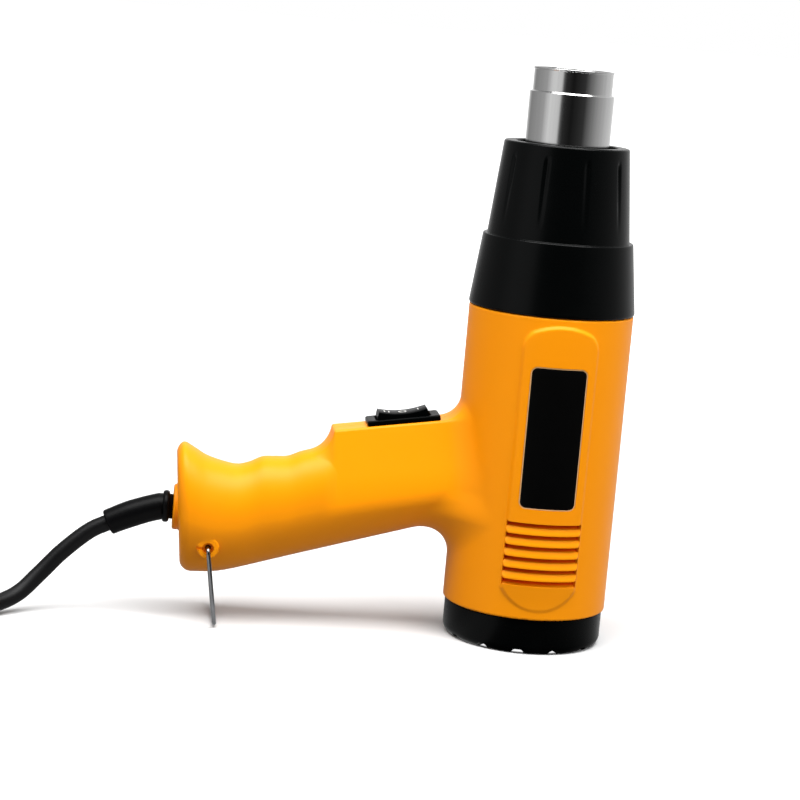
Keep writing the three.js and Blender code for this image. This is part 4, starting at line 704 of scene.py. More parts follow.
def housing_field(x, y, z):
    """Whole outside of the clamshell."""
    up = z - RIM_LOW
    radial = np.hypot(x, y)
    past_rims = np.abs(z - (RIM_LOW + RIM_HIGH) / 2) - (RIM_HIGH - RIM_LOW) / 2
    barrel = round_edge(radial - BARREL_RADIUS, past_rims, RIM_ROUND)
    top_arch = arched_end(x, z - PANEL_HIGH, PANEL_TOP_RADIUS)
    low_arch = arched_end(x, PANEL_LOW - z, PANEL_END_RADIUS)
    outline = np.maximum(round_edge(np.abs(x) - PANEL_HALF_WIDTH, top_arch, PANEL_CORNER), low_arch)
    lobe = np.clip((LOBE_TOP - z) / (LOBE_TOP - PANEL_LOW), 0, 1)
    panel = round_edge(radial - PANEL_RADIUS + LOBE_TAPER * lobe, outline, PANEL_EDGE)
    underside = ease((FILLET_CHANGE_TOP - up) / FILLET_CHANGE)
    blend = SIDE_FILLET + (UNDERSIDE_FILLET - SIDE_FILLET) * underside
    body = fillet(fillet(barrel, panel, PANEL_FOOT), grip_field(x, y, z), blend)
    past_boss = np.abs(x - butt_x) - (butt_x - shell_low.x)
    boss = round_edge(np.hypot(y, up - CORD_HEIGHT) - BUTT_BOSS_RADIUS, past_boss, BUTT_BOSS_EDGE)
    eye = np.hypot(x - BAIL_PIVOT.x, z - BAIL_PIVOT.z) - BAIL_BOSS_RADIUS
    eye = round_edge(eye, np.abs(y) - BAIL_BOSS_REACH, BAIL_BOSS_EDGE)
    return fillet(fillet(body, boss, BUTT_BOSS_FOOT), eye, BAIL_BOSS_FOOT)


def skin_of_field(field, low, high, step):
    """Corners and faces of a field's zero surface: one corner in each cell that it crosses."""
    axes = [np.arange(a - step, b + 2 * step, step) for a, b in zip(low, high)]
    x, y, z = np.meshgrid(*axes, indexing="ij", sparse=True)
    blocks = np.array_split(np.arange(len(axes[0])), max(1, len(axes[0]) // 24))
    values = np.concatenate([np.broadcast_to(field(x[rows], y, z), (len(rows), y.shape[1], z.shape[2]))
                             for rows in blocks]).astype(np.float32)
    total = values.size
    sums, hits, faces = np.zeros((3, total)), np.zeros(total), []
    for axis in range(3):
        first = np.delete(values, -1, axis)
        second = np.delete(values, 0, axis)
        crossing = (first < 0) != (second < 0)
        corner = np.argwhere(crossing)
        point = corner.astype(float)
        point[:, axis] += first[crossing] / (first[crossing] - second[crossing])
        around = []
        for back_u, back_v in ((0, 0), (1, 0), (1, 1), (0, 1)):
            cell = corner.copy()
            cell[:, (axis + 1) % 3] -= back_u
            cell[:, (axis + 2) % 3] -= back_v
            number = np.ravel_multi_index(cell.T, values.shape)
            for k in range(3):
                sums[k] += np.bincount(number, point[:, k], total)
            hits += np.bincount(number, minlength=total)
            around.append(number)
        quads = np.stack(around, 1)
        turned_in = first[crossing] > 0
        quads[turned_in] = quads[turned_in][:, ::-1]
        faces.append(quads)
    used = np.flatnonzero(hits)
    renumber = np.zeros(total, int)
    renumber[used] = np.arange(len(used))
    origin = np.array([axis[0] for axis in axes])
    points = (sums[:, used] / hits[used]).T * step + origin
    return points, renumber[np.concatenate(faces)].tolist()


def gradient(field, points):
    """Outward direction of a field at points."""
    reach = 0.04
    steps = [(field(*(points + axis).T) - field(*(points - axis).T)) / (2 * reach)
             for axis in np.eye(3) * reach]
    return np.stack(steps, 1)


def drawn_to(field, points, rounds=3):
    """Points moved onto a field's zero surface."""
    for _ in range(rounds):
        slope = gradient(field, points)
        length = np.maximum((slope * slope).sum(1), 0.05)
        points = points - np.clip(field(*points.T) / length, -0.5, 0.5)[:, None] * slope
    return points


def settled(piece):
    """The piece with its modifiers worked into a plain mesh."""
    bpy.context.view_layer.update()
    graph = bpy.context.evaluated_depsgraph_get()
    mesh = bpy.data.meshes.new_from_object(piece.evaluated_get(graph))
    piece.modifiers.clear()
    piece.data = mesh
    return piece


def carve(piece, tool, operation="DIFFERENCE", keep_tool=False):
    """Cuts a piece with a tool, joins them or keeps what they share."""
    change = piece.modifiers.new("carve", "BOOLEAN")
    change.solver = "MANIFOLD"
    change.operation = operation
    change.object = tool
    settled(piece)
    if not keep_tool:
        bpy.data.objects.remove(tool)
    return piece


def vector_maths(vector, operation, other=(0, 0, 0), output="Vector"):
    return vector.node("ShaderNodeVectorMath", {"operation": operation}, {0: vector, 1: other}, output)


def length_of(vector):
    return vector_maths(vector, "LENGTH", output="Value")


def scaled(vector, factor):
    return vector.node("ShaderNodeVectorMath", {"operation": "SCALE"}, {0: vector, "Scale": factor}, "Vector")


def parts(vector, axes):
    """Signals of a vector's parts along some axes."""
    return [vector.node("ShaderNodeSeparateXYZ", inputs={0: vector}, output=axis) for axis in axes]


def ramp(value, low, high, first=0.0, last=1.0, smooth=False):
    """Goes from a first number to a last one while a signal goes from low to high."""
    kind = "SMOOTHSTEP" if smooth else "LINEAR"
    return value.node("ShaderNodeMapRange", {"interpolation_type": kind}, {
        "Value": value, "From Min": low, "From Max": high, "To Min": first, "To Max": last})


# depth over which painted shade, a redder colour, comes in deep in the slots
SLOT_SHADE_DEPTH = 0.6


def moulded_orange():
    """Orange nylon from a spark-eroded mould: fine even grain, faint flow clouds and a satin sheen. Deep in
    the slots a redder colour is painted in, as painted shade for light that has gone from wall to wall."""
    finish, start, shader = new_finish("orange_nylon", {"IOR": 1.5, "Specular IOR Level": 0.15})
    place = start.node("ShaderNodeTexCoord", output="Object")
    radius = length_of(vector_maths(place, "MULTIPLY", (1, 1, 0)))
    slot_shade_end = BARREL_RADIUS - RIM_ROUND
    # painted shade: a mask that is 1 deep in the slots, where the colour is turned redder
    painted_slot_shade = ramp(radius, (slot_shade_end - SLOT_SHADE_DEPTH) * MM, slot_shade_end * MM, 1.0, 0.0)
    painted_slot_shade = painted_slot_shade * abs(parts(place, "X")[0]).maths("LESS_THAN", (PANEL_HALF_WIDTH + 1) * MM)
    grain = mottle(start, 0.32, 2)
    skin_colour = blend_colour(mottle(start, 45, 3), srgb(245, 146, 1), srgb(249, 151, 2))
    # the redder colour deep in the slots is painted shade
    feed(shader, base_color=blend_colour(painted_slot_shade, skin_colour, srgb(250, 98, 0)),
         roughness=0.37 + 0.07 * (mottle(start, 7, 4) - 0.5) + 0.04 * grain, normal=relief(grain, 0.012))
    return finish


def rod_between(name, start, end, radius, sides=32):
    start, end = Vector(start), Vector(end)
    heading = (end - start).normalized()
    return make_piece(name, skin(round_rings([(start, heading, radius), (end, heading, radius)], sides)))


def cross_rod(name, place, near_y, far_y, radius):
    """A rod across the tool, through a place seen from its side."""
    return rod_between(name, (place.x, near_y, place.z), (place.x, far_y, place.z), radius)


SKIN_STEP = 0.7
HOLLOW_STEP = 1.5
HOLLOW_MARGIN = 10.0
BORE_OVERRUN = 3.0
BORE_SIDES = 128
field_low = (shell_low.x, -PANEL_RADIUS, RIM_LOW)
field_high = (BARREL_RADIUS, PANEL_RADIUS, RIM_HIGH)
corners, quads = skin_of_field(housing_field, field_low, field_high, SKIN_STEP)
outside = make_piece("outside", (drawn_to(housing_field, corners), quads))
bore_ends = [(0, 0, RIM_LOW - BORE_OVERRUN), (0, 0, RIM_HIGH + BORE_OVERRUN)]
bore = rod_between("bore", *bore_ends, BARREL_RADIUS - WALL, BORE_SIDES)


def hollow_field(x, y, z):
    """Hollow of the handle, one wall inside its outside and open to the barrel."""
    return grip_field(x, y, z) + WALL


hollow_low = (shell_low.x, -BUTT_HALF_WIDTH, RIM_LOW)
hollow_high = (ROOT_DEPTH - BARREL_RADIUS, BUTT_HALF_WIDTH, RIM_LOW + LAND_HEIGHT + HOLLOW_MARGIN)
hollow = make_piece("hollow", skin_of_field(hollow_field, hollow_low, hollow_high, HOLLOW_STEP))


def joined(pieces):
    """One mesh object of several that do not touch."""
    work = bmesh.new()
    for piece in pieces:
        work.from_mesh(piece.data)
    work.to_mesh(pieces[0].data)
    work.free()
    for piece in pieces[1:]:
        bpy.data.objects.remove(piece)
    return pieces[0]


# posts for the housing screws, from one half to the other
SCREWS = 5
POST_RADIUS = 4.6
PILOT_RADIUS = 1.75
PILOT_DEPTH = 14.0
HEAD_RADIUS = 3.0
HEAD_HEIGHT = 2.0
WELL_RADIUS = HEAD_RADIUS + CUT_GAP
FAR = 60.0
screw_places = []
for number in range(1, SCREWS + 1):
    low, high = (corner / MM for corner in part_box(f"housing_screw_{number}"))
    screw_places.append(Vector(((low.x + high.x) / 2, high.y - HEAD_HEIGHT, (low.z + high.z) / 2)))
posts = joined([cross_rod("post", p, -FAR, FAR, POST_RADIUS) for p in screw_places])
carve(posts, outside, "INTERSECT", keep_tool=True)
housing = carve(outside, bore)
carve(housing, hollow)
carve(housing, posts, "UNION")
carve(housing, joined([cross_rod("well", p, p.y - CUT_GAP, FAR, WELL_RADIUS) for p in screw_places]))
carve(housing, joined([cross_rod("pilot", p, p.y - PILOT_DEPTH, p.y, PILOT_RADIUS) for p in screw_places]))

# intake louvres, six on each side, cut upwards into the wall; the slats between them are sloped back
LOUVRES = 6
LOUVRE_PITCH = 4.8
LOUVRE_TOP = RIM_LOW + 41
LOUVRE_HEIGHT = 2.0
LOUVRE_HALF_WIDTH = 15.9
LOUVRE_CLIMB = 0.7
LOUVRE_STEPS = 40
SLAT_SETBACK = 1.2
SLAT_LAND = 0.4
SLAT_LIP = 0.5
CUT_OVERRUN = 1.5
CUT_BREAKTHROUGH = 1.0


def new_tree(name, **inputs):
    """Empty geometry tree with named inputs; gives it and a signal for each input."""
    tree = bpy.data.node_groups.new(name, "GeometryNodeTree")
    tree.interface.new_socket("Result", in_out="OUTPUT", socket_type="NodeSocketGeometry")
    tree.interface.new_socket("Piece", in_out="INPUT", socket_type="NodeSocketGeometry")
    for socket, kind in inputs.items():
        tree.interface.new_socket(socket, in_out="INPUT", socket_type=f"NodeSocket{kind}")
    sockets = tree.nodes.new("NodeGroupInput").outputs
    return tree, {socket.name: Signal(tree, socket) for socket in sockets if socket.name}


def close_tree(result, finish=None):
    """Ends a geometry tree in real geometry with its material."""
    result = result.node("GeometryNodeRealizeInstances", inputs={"Geometry": result})
    if finish:
        result = result.node("GeometryNodeSetMaterial", inputs={"Geometry": result, "Material": finish})
    end = result.tree.nodes.new("NodeGroupOutput")
    result.tree.links.new(result.socket, end.inputs[0])


def grown(piece, tree, **sizes):
    """The piece worked by a geometry tree into a plain mesh, with the tree's inputs set."""
    change = piece.modifiers.new(tree.name, "NODES")
    change.node_group = tree
    for socket, value in sizes.items():
        change[tree.interface.items_tree[socket].identifier] = value
    return settled(piece)


copies_tree, given = new_tree("copies", Count="Int", Step="Vector", Turn="Float")
number = given["Piece"].node("GeometryNodeInputIndex")
shift = scaled(given["Step"], number)
row = number.node("GeometryNodePoints", inputs={"Count": given["Count"], "Position": shift})
spin = number.node("ShaderNodeCombineXYZ", inputs={"Z": number * given["Turn"]})
close_tree(row.node("GeometryNodeInstanceOnPoints",
                    inputs={"Points": row, "Instance": given["Piece"], "Rotation": spin}))


def copies(piece, count, step=(0, 0, 0), turn=0.0):
    """Repeats a piece along a step, in millimetres, and round the Z axis."""
    return grown(piece, copies_tree, Count=count, Step=[part * MM for part in step], Turn=turn)


def louvre_tool(name, profile):
    """A louvre's outline of radius and height swept round the barrel, out to the louvre's half width."""
    half_turn = math.asin(LOUVRE_HALF_WIDTH / PANEL_RADIUS)
    turns = [half_turn * (2 * k / LOUVRE_STEPS - 1) for k in range(LOUVRE_STEPS + 1)]
    rings = [[(r * math.sin(t), -r * math.cos(t), z) for r, z in profile] for t in turns]
    return make_piece(name, skin(rings))


def inward(radius, start_radius, height):
    """Height of a louvre's wall at a radius."""
    return height + (start_radius - radius) * LOUVRE_CLIMB


slot_low = LOUVRE_TOP - LOUVRE_HEIGHT
slat_low = LOUVRE_TOP - LOUVRE_PITCH + SLAT_LAND
setback = PANEL_RADIUS - SLAT_SETBACK
depth = BARREL_RADIUS - WALL - CUT_BREAKTHROUGH
clear = PANEL_RADIUS + CUT_OVERRUN
lip = slot_low - SLAT_LIP
low_lip = lip - SLAT_LIP
roof = [(PANEL_RADIUS, LOUVRE_TOP), (depth, inward(depth, PANEL_RADIUS, LOUVRE_TOP))]
louvre = roof + [(depth, inward(depth, setback, lip)), (setback - SLAT_LIP, slot_low - SLAT_LIP / 2),
                 (setback, slot_low), (PANEL_RADIUS + 0.1, slat_low), (clear, slat_low), (clear, LOUVRE_TOP)]
lowest = roof + [(depth, inward(depth, PANEL_RADIUS, low_lip)), (PANEL_RADIUS - 2 * SLAT_LIP, low_lip),
                 (PANEL_RADIUS - SLAT_LIP, lip), (clear, lip), (clear, LOUVRE_TOP)]
louvres = copies(louvre_tool("louvres", louvre), LOUVRES - 1, step=(0, 0, -LOUVRE_PITCH))
lowest_drop = (LOUVRES - 1) * LOUVRE_PITCH
lowest_louvre = louvre_tool("lowest_louvre", [(radius, height - lowest_drop) for radius, height in lowest])
for cut in (louvres, lowest_louvre):
    carve(housing, copies(cut, 2, turn=math.pi))

# openings for the label, the switch, the cord and the bail's eyes
LABEL_HALF_WIDTH = 11.9
LABEL_LOW = RIM_LOW + 46.8
LABEL_HIGH = RIM_LOW + 106.1
LABEL_CORNER = 3.0
LABEL_RECESS = 1.0
SWITCH_HALF_LENGTH = 13.5
SWITCH_HALF_WIDTH = 6.0
OPENING_CORNER = 1.0
OPENING_DEPTH = 26.0
OPENING_RISE = 6.0
NECK_HOLE_RADIUS = NECK_RADIUS + CUT_GAP
NECK_HOLE_REACH = 8.0
NECK_HOLE_SIDES = 48
EYE_RADIUS = 1.3
EYE_MOUTH_RADIUS = 2.4
EYE_MOUTH_SINK = 0.6
SLOT_HALF = 0.7
SLOT_OVERRUN = 0.4
SEAM_HALF_GAP = 0.1
ON_SKIN = 0.05
FACING_OUT = 0.75


def curved_plate(inset, inner, outer):
    """The label's outline, drawn in by an inset, as a plate between two radii."""
    half, corner = LABEL_HALF_WIDTH - inset, LABEL_CORNER - inset
    low, high = LABEL_LOW + inset, LABEL_HIGH - inset
    ends = [(half - corner * (1 - cosine), corner * (1 - sine)) for cosine, sine in spokes(range(0, 91, 10))]
    flat = [((half - corner) * (k / 10 - 1), 0) for k in range(1, 20)]
    rings = []
    for x, draw in [(-x, draw) for x, draw in ends] + flat + ends[::-1]:
        sides = [(outer, low + draw), (outer, high - draw), (inner, high - draw), (inner, low + draw)]
        rings.append([(x, -math.sqrt(r * r - x * x), z) for r, z in sides])
    return skin(rings)


land_frame = (Matrix.Translation((-BARREL_RADIUS - LAND_CENTRE, 0, RIM_LOW + LAND_HEIGHT))
              @ Matrix.Rotation(-LAND_ANGLE, 4, "Y"))


def rectangle(half_length, half_width, corner, height, where=land_frame):
    """Ring of points on a rounded rectangle in a level plane of a local frame."""
    corners = [(half_length, half_width, corner), (-half_length, half_width, corner),
               (-half_length, -half_width, corner), (half_length, -half_width, corner)]
    return [where @ Vector((p.x, p.y, height)) for p in rounded(corners, step=15)]


def slab(name, low, high):
    (a, b, c), (d, e, f) = low, high
    return make_piece(name, skin([[(a, b, z), (d, b, z), (d, e, z), (a, e, z)] for z in (c, f)]))


carve(housing, make_piece("label_recess", curved_plate(0, PANEL_RADIUS - LABEL_RECESS, clear)))
opening = [rectangle(SWITCH_HALF_LENGTH + CUT_GAP, SWITCH_HALF_WIDTH + CUT_GAP, OPENING_CORNER, height)
           for height in (-OPENING_DEPTH, OPENING_RISE)]
carve(housing, make_piece("switch_opening", skin(opening)))
neck_ends = [(butt_x + reach, 0, sleeve_start.z) for reach in (NECK_HOLE_REACH, -NECK_HOLE_REACH)]
carve(housing, rod_between("neck_hole", *neck_ends, NECK_HOLE_RADIUS, NECK_HOLE_SIDES))
carve(housing, cross_rod("eyes", BAIL_PIVOT, -FAR, FAR, EYE_RADIUS))
eye_floor = BAIL_BOSS_REACH - BAIL_BOSS_RAISE
for side in (-1, 1):
    mouth_floor = side * (eye_floor - EYE_MOUTH_SINK)
    carve(housing, cross_rod("eye_mouth", BAIL_PIVOT, mouth_floor, side * FAR, EYE_MOUTH_RADIUS))
    near_y, far_y = sorted((side * eye_floor, side * FAR))
    slot_start = BAIL_PIVOT.x - BAIL_BOSS_RADIUS - SLOT_OVERRUN
    carve(housing, slab("eye_slot", (slot_start, near_y, BAIL_PIVOT.z - SLOT_HALF),
                        (BAIL_PIVOT.x, far_y, BAIL_PIVOT.z + SLOT_HALF)))


def values_of(items, field, width=1, kind=float):
    """One field of all of a mesh's items, as rows of a width."""
    values = np.empty(len(items) * width, kind)
    items.foreach_get(field, values)
    return values.reshape(-1, width) if width > 1 else values


def true_normals(piece, field):
    """Exact normals of the field on the faces that lie on its surface."""
    mesh = piece.data
    soften(mesh, 30)
    places = values_of(mesh.vertices, "co", 3) / MM
    slopes = gradient(field, places)
    slopes /= np.maximum(np.linalg.norm(slopes, axis=1), 1e-6)[:, None]
    on_skin = np.abs(field(*places.T)) < ON_SKIN
    loops = values_of(mesh.loops, "vertex_index", kind=int)
    totals = values_of(mesh.polygons, "loop_total", kind=int)
    starts = values_of(mesh.polygons, "loop_start", kind=int)
    whole = np.repeat(np.logical_and.reduceat(on_skin[loops], starts), totals)
    faces = np.repeat(values_of(mesh.polygons, "normal", 3), totals, axis=0)
    use = whole & ((faces * slopes[loops]).sum(1) > FACING_OUT)
    normals = values_of(mesh.corner_normals, "vector", 3)
    normals[use] = slopes[loops[use]]
    mesh.normals_split_custom_set(normals)


orange = moulded_orange()
for name, side in (("left", -1), ("right", 1)):
    half = add_object(f"{name}_shell", housing.data.copy())
    half.data.name = half.name
    near_y, far_y = sorted((side * SEAM_HALF_GAP, side * FAR))
    carve(half, slab("half_space", (-200, near_y, -10), (60, far_y, 200)), "INTERSECT")
    true_normals(half, housing_field)
    half.data.materials.clear()
    half.data.materials.append(orange)
    seat(half, "housing", "shell", f"{name}_housing")
bpy.data.objects.remove(housing)

# Label plate
# A bare rating plate: matt black printed aluminium foil with a pale keyline near its edge, stuck in the
# shallow recess of the left panel.
LABEL_INSET = 0.15
LABEL_SINK = 0.2
KEYLINE = 0.4


def printed_foil():
    finish, start, shader = new_finish("label_foil", {"Specular IOR Level": 0.05})
    x, z = parts(start.node("ShaderNodeTexCoord", output="Object"), "XZ")
    corner = LABEL_CORNER * MM
    middle, half = (LABEL_LOW + LABEL_HIGH) / 2 * MM, (LABEL_HIGH - LABEL_LOW) / 2 * MM
    across = abs(x) - (LABEL_HALF_WIDTH * MM - corner)
    along = abs(z - middle) - (half - corner)
    past = start.node("ShaderNodeCombineXYZ", inputs={"X": across.maths("MAXIMUM", 0.0),
                                                      "Y": along.maths("MAXIMUM", 0.0)})
    edge = length_of(past).maths("GREATER_THAN", corner - (LABEL_INSET + KEYLINE) * MM)
    ink = blend_colour(mottle(start, 12), srgb(2, 2, 2), srgb(4, 4, 4))
    feed(shader, base_color=blend_colour(edge, ink, srgb(218, 172, 120)),
         roughness=0.5 + 0.1 * mottle(start, 5), normal=relief(mottle(start, 0.3), 0.006))
    return finish


label_shape = curved_plate(LABEL_INSET, PANEL_RADIUS - LABEL_RECESS + 0.1, PANEL_RADIUS - LABEL_SINK)
label = make_piece("label_foil", label_shape, printed_foil())
seat(label, "housing", "label", "label_plate")

# Housing screws
# Five thread-forming pan-head screws, black zinc plated, driven from the right into posts of the left half.
# One is turned with its cross recess, and the rest are copies of it at the wells.
SHANK_RADIUS = 1.4
SHANK_LENGTH = 12.0
SHANK_TIP = 0.4
HEAD_RIM = 0.6
THREAD_PITCH = 1.3
THREAD_DEPTH = 0.3
THREAD_HALF = 0.35
CROSS_HALF_WIDTH = 0.42
CROSS_CORNER = 0.1
SCREW_SIDES = 32


def turned(profile, steps, loop=True):
    """Corners and faces of an outline of radius and height turned round the Z axis."""
    around = circle(steps)
    rings = [[(r * cosine, r * sine, z) for cosine, sine in around] for r, z in profile]
    points, faces = skin(rings, loop)
    return points, faces if loop else faces[:-2]


black_zinc = plain_stock("black_zinc", (52, 52, 55), (70, 70, 74), 3, 0.34, 0.25, 0.004, metal=1.0)
screw_profile = [(0, HEAD_HEIGHT)]
screw_profile += [(HEAD_RADIUS * sine, HEAD_RIM + (HEAD_HEIGHT - HEAD_RIM) * cosine)
                  for cosine, sine in spokes(range(15, 91, 15))]
screw_profile += [(HEAD_RADIUS, 0), (SHANK_RADIUS, 0)]
threads = round(SHANK_LENGTH / THREAD_PITCH)
for k in range(threads):
    down = -SHANK_LENGTH * (k + 0.5) / threads
    root = SHANK_RADIUS - THREAD_DEPTH
    screw_profile += [(root, down + THREAD_HALF), (SHANK_RADIUS, down), (root, down - THREAD_HALF)]
screw_profile += [(SHANK_TIP, -SHANK_LENGTH - SHANK_TIP), (0, -SHANK_LENGTH - SHANK_TIP)]
screw = make_piece("screw", turned(screw_profile, SCREW_SIDES, loop=False), black_zinc, 40)
for turn in (0, math.pi / 2):
    spun = Matrix.Rotation(turn, 4, "Z")
    cross = [rectangle(reach, CROSS_HALF_WIDTH, CROSS_CORNER, height, spun)
             for reach, height in ((0.5, 0.7), (1.6, HEAD_HEIGHT + 0.5))]
    carve(screw, make_piece("cross", skin(cross)))
screw.data.transform(Matrix.Rotation(-math.pi / 2, 4, "X"))
spots_tree, given = new_tree("copies_at_points", Pattern="Object")
spots = given["Piece"]
pattern = spots.node("GeometryNodeObjectInfo", inputs={"Object": given["Pattern"]}, output="Geometry")
in_wells = spots.node("GeometryNodeInstanceOnPoints", inputs={"Points": spots, "Instance": pattern})
close_tree(in_wells, black_zinc)
well_floors = bpy.data.meshes.new("housing_screws")
well_floors.from_pydata([p * MM for p in screw_places], [], [])
screws = grown(add_object("housing_screws", well_floors), spots_tree, Pattern=screw)
bpy.data.objects.remove(screw)
seat(screws, "housing", "fastener", *[f"housing_screw_{k}" for k in range(1, SCREWS + 1)])

# Rear cap
# Intake cap, black glass-filled nylon: a rounded cup on a spigot in the barrel, with a flat middle to stand
# on and thirteen air notches cut in from its rim.
CAP_RADIUS = 33.5
CAP_CORNER = 3.1
CAP_ROUND = 3.6
CAP_RIM = RIM_LOW - CUT_GAP
CAP_PLATE = 2.6
CAP_SIDES = 182
SPIGOT_OUTER = BARREL_RADIUS - WALL - 0.4
SPIGOT_INNER = SPIGOT_OUTER - 2.4
SPIGOT_TOP = RIM_LOW + 6
NOTCHES = 13
NOTCH_HALF_WIDTH = 2.4
NOTCH_DEPTH = 3.4
NOTCH_MOUTH = 1.6
NOTCH_ROUND = 1.6
NOTCH_FROM = 15.0
NOTCH_TO = CAP_RADIUS + 4
NOTCH_TURN = math.radians(-10.8)


def black_nylon(name, rough, sheen):
    """Black nylon from a fine-grained mould."""
    finish, start, shader = new_finish(name, {"IOR": 1.5, "Specular IOR Level": sheen})
    feed(shader, base_color=blend_colour(mottle(start, 20, 3), srgb(2, 3, 3), srgb(4, 5, 5)),
         roughness=rough + 0.08 * (mottle(start, 6, 4) - 0.5), normal=relief(mottle(start, 0.35, 2), 0.012))
    return finish


def notch_arch(out, height):
    """Arched section of a notch at a distance out from the axis."""
    half = NOTCH_HALF_WIDTH
    arch = rounded([(-half, -2, 0), (half, -2, 0), (half, height, NOTCH_ROUND), (-half, height, NOTCH_ROUND)])
    return [(p.x, -out, p.y) for p in arch]


cap_profile = [Vector((0, 0)), Vector((CAP_RADIUS - CAP_CORNER, 0))]
cap_profile += [Vector((CAP_RADIUS - CAP_CORNER * (1 - sine), CAP_ROUND * (1 - cosine)))
                for cosine, sine in spokes(range(9, 91, 9))]
cap_profile += rounded([
    (CAP_RADIUS, CAP_ROUND, 0), (CAP_RADIUS, CAP_RIM, 0.5), (SPIGOT_OUTER, CAP_RIM, 0),
    (SPIGOT_OUTER, SPIGOT_TOP, 0.4), (SPIGOT_INNER, SPIGOT_TOP, 0.4), (SPIGOT_INNER, CAP_PLATE, 0),
    (0, CAP_PLATE, 0)], closed=False)
cap_black = black_nylon("cap_nylon", 0.27, 0.07)
cap = make_piece("intake_cap", turned(cap_profile, CAP_SIDES, loop=False), cap_black, 40)
notch = [notch_arch(NOTCH_FROM, NOTCH_DEPTH), notch_arch(NOTCH_TO, NOTCH_MOUTH)]
notches = make_piece("notches", skin(notch))
notches.data.transform(Matrix.Rotation(NOTCH_TURN, 4, "Z"))
carve(cap, copies(notches, NOTCHES, turn=2 * math.pi / NOTCHES))
soften(cap.data, 32)
seat(cap, "housing", "cap", "rear_cap")

# Nose guard
# Black heat-proof nylon shroud on a spigot in the barrel: a tapered collar, a small step and a cone with
# ten shallow flutes that run out towards the step, rolled in to a lip round the nozzle.
GUARD_BASE = RIM_HIGH + CUT_GAP
GUARD_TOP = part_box("nose_guard")[1].z / MM
GUARD_FOOT = RIM_HIGH - 8
GUARD_WALL = 2.2
GUARD_SIDES = 400
GUARD_SPLIT = 1.5
STEP_HEIGHT = 171.0
COLLAR_RADIUS = 34.8
STEP_RADIUS = 31.4
CONE_BASE_RADIUS = 29.8
CONE_TOP_RADIUS = 26.2
LIP_RADIUS = 21.2
FLUTES = 10
FLUTE_TURN = 0.28
FLUTE_HALF_WIDTH = 1.5
FLUTE_DEPTH = 0.8
FLUTE_LOW = STEP_HEIGHT + 5
FLUTE_HIGH = GUARD_TOP - 7.2
FLUTE_END = 1.4


def sides_of(profile, step, closed=True):
    """Outline with its long straight runs split, so that shading stays even."""
    split = []
    for a, b in zip(profile, profile[1:] + profile[:1] if closed else profile[1:]):
        count = max(1, math.ceil((b - a).length / step))
        split += [a.lerp(b, k / count) for k in range(count)]
    return split if closed else split + [profile[-1]]


guard_profile = rounded([
    (SPIGOT_OUTER, GUARD_BASE, 0), (COLLAR_RADIUS - 0.2, GUARD_BASE, 0.5),
    (COLLAR_RADIUS, GUARD_BASE + 1, 0.8), (STEP_RADIUS, STEP_HEIGHT, 0.7),
    (CONE_BASE_RADIUS, STEP_HEIGHT, 0.3), (CONE_TOP_RADIUS - 0.15, GUARD_TOP, 1.0),
    (LIP_RADIUS, GUARD_TOP, 0.6), (LIP_RADIUS, GUARD_TOP - 2.2, 0.3),
    (CONE_TOP_RADIUS - GUARD_WALL, GUARD_TOP - 4.4, 0.3), (CONE_BASE_RADIUS - GUARD_WALL, STEP_HEIGHT, 0),
    (SPIGOT_INNER, GUARD_BASE + 2, 0), (SPIGOT_INNER, GUARD_FOOT, 0.4),
    (SPIGOT_OUTER, GUARD_FOOT, 0.4)], step=9)
guard_black = black_nylon("guard_nylon", 0.25, 0.1)
guard = make_piece("heat_guard", turned(sides_of(guard_profile, GUARD_SPLIT), GUARD_SIDES), guard_black, 40)
flutes_tree, given = new_tree("flutes", Count="Float", Turn="Float", Half_width="Float", Depth="Float",
                              Low="Float", High="Float", Inner="Float")
place = given["Piece"].node("GeometryNodeInputPosition")
x, y, z = parts(place, "XYZ")
flat = place.node("ShaderNodeCombineXYZ", inputs={"X": x, "Y": y})
radius = length_of(flat)
turns = y.maths("ARCTAN2", x) / (2 * math.pi) + 0.25
share = (turns * given["Count"] - given["Turn"] + 0.5).maths("FRACT") - 0.5
aside = abs(share) * radius * (2 * math.pi) / given["Count"]
groove = ramp(1 - (aside / given["Half_width"]).maths("MINIMUM", 1.0), 0.0, 1.0, smooth=True)
rising = ramp(z, given["Low"], given["High"])
ending = ramp(z, given["High"], given["High"] + FLUTE_END * MM, 1.0, 0.0, smooth=True)
sink = groove * rising * ending * radius.maths("GREATER_THAN", given["Inner"]) * given["Depth"]
offset = scaled(vector_maths(flat, "NORMALIZE"), sink * -1.0)
fluted = place.node("GeometryNodeSetPosition", inputs={"Geometry": given["Piece"], "Offset": offset})
close_tree(fluted, guard_black)
grown(guard, flutes_tree, Count=float(FLUTES), Turn=FLUTE_TURN, Half_width=FLUTE_HALF_WIDTH * MM,
      Depth=FLUTE_DEPTH * MM, Low=FLUTE_LOW * MM, High=FLUTE_HIGH * MM,
      Inner=(CONE_TOP_RADIUS - GUARD_WALL / 2) * MM)
soften(guard.data, 45)
seat(guard, "housing", "guard", "nose_guard")

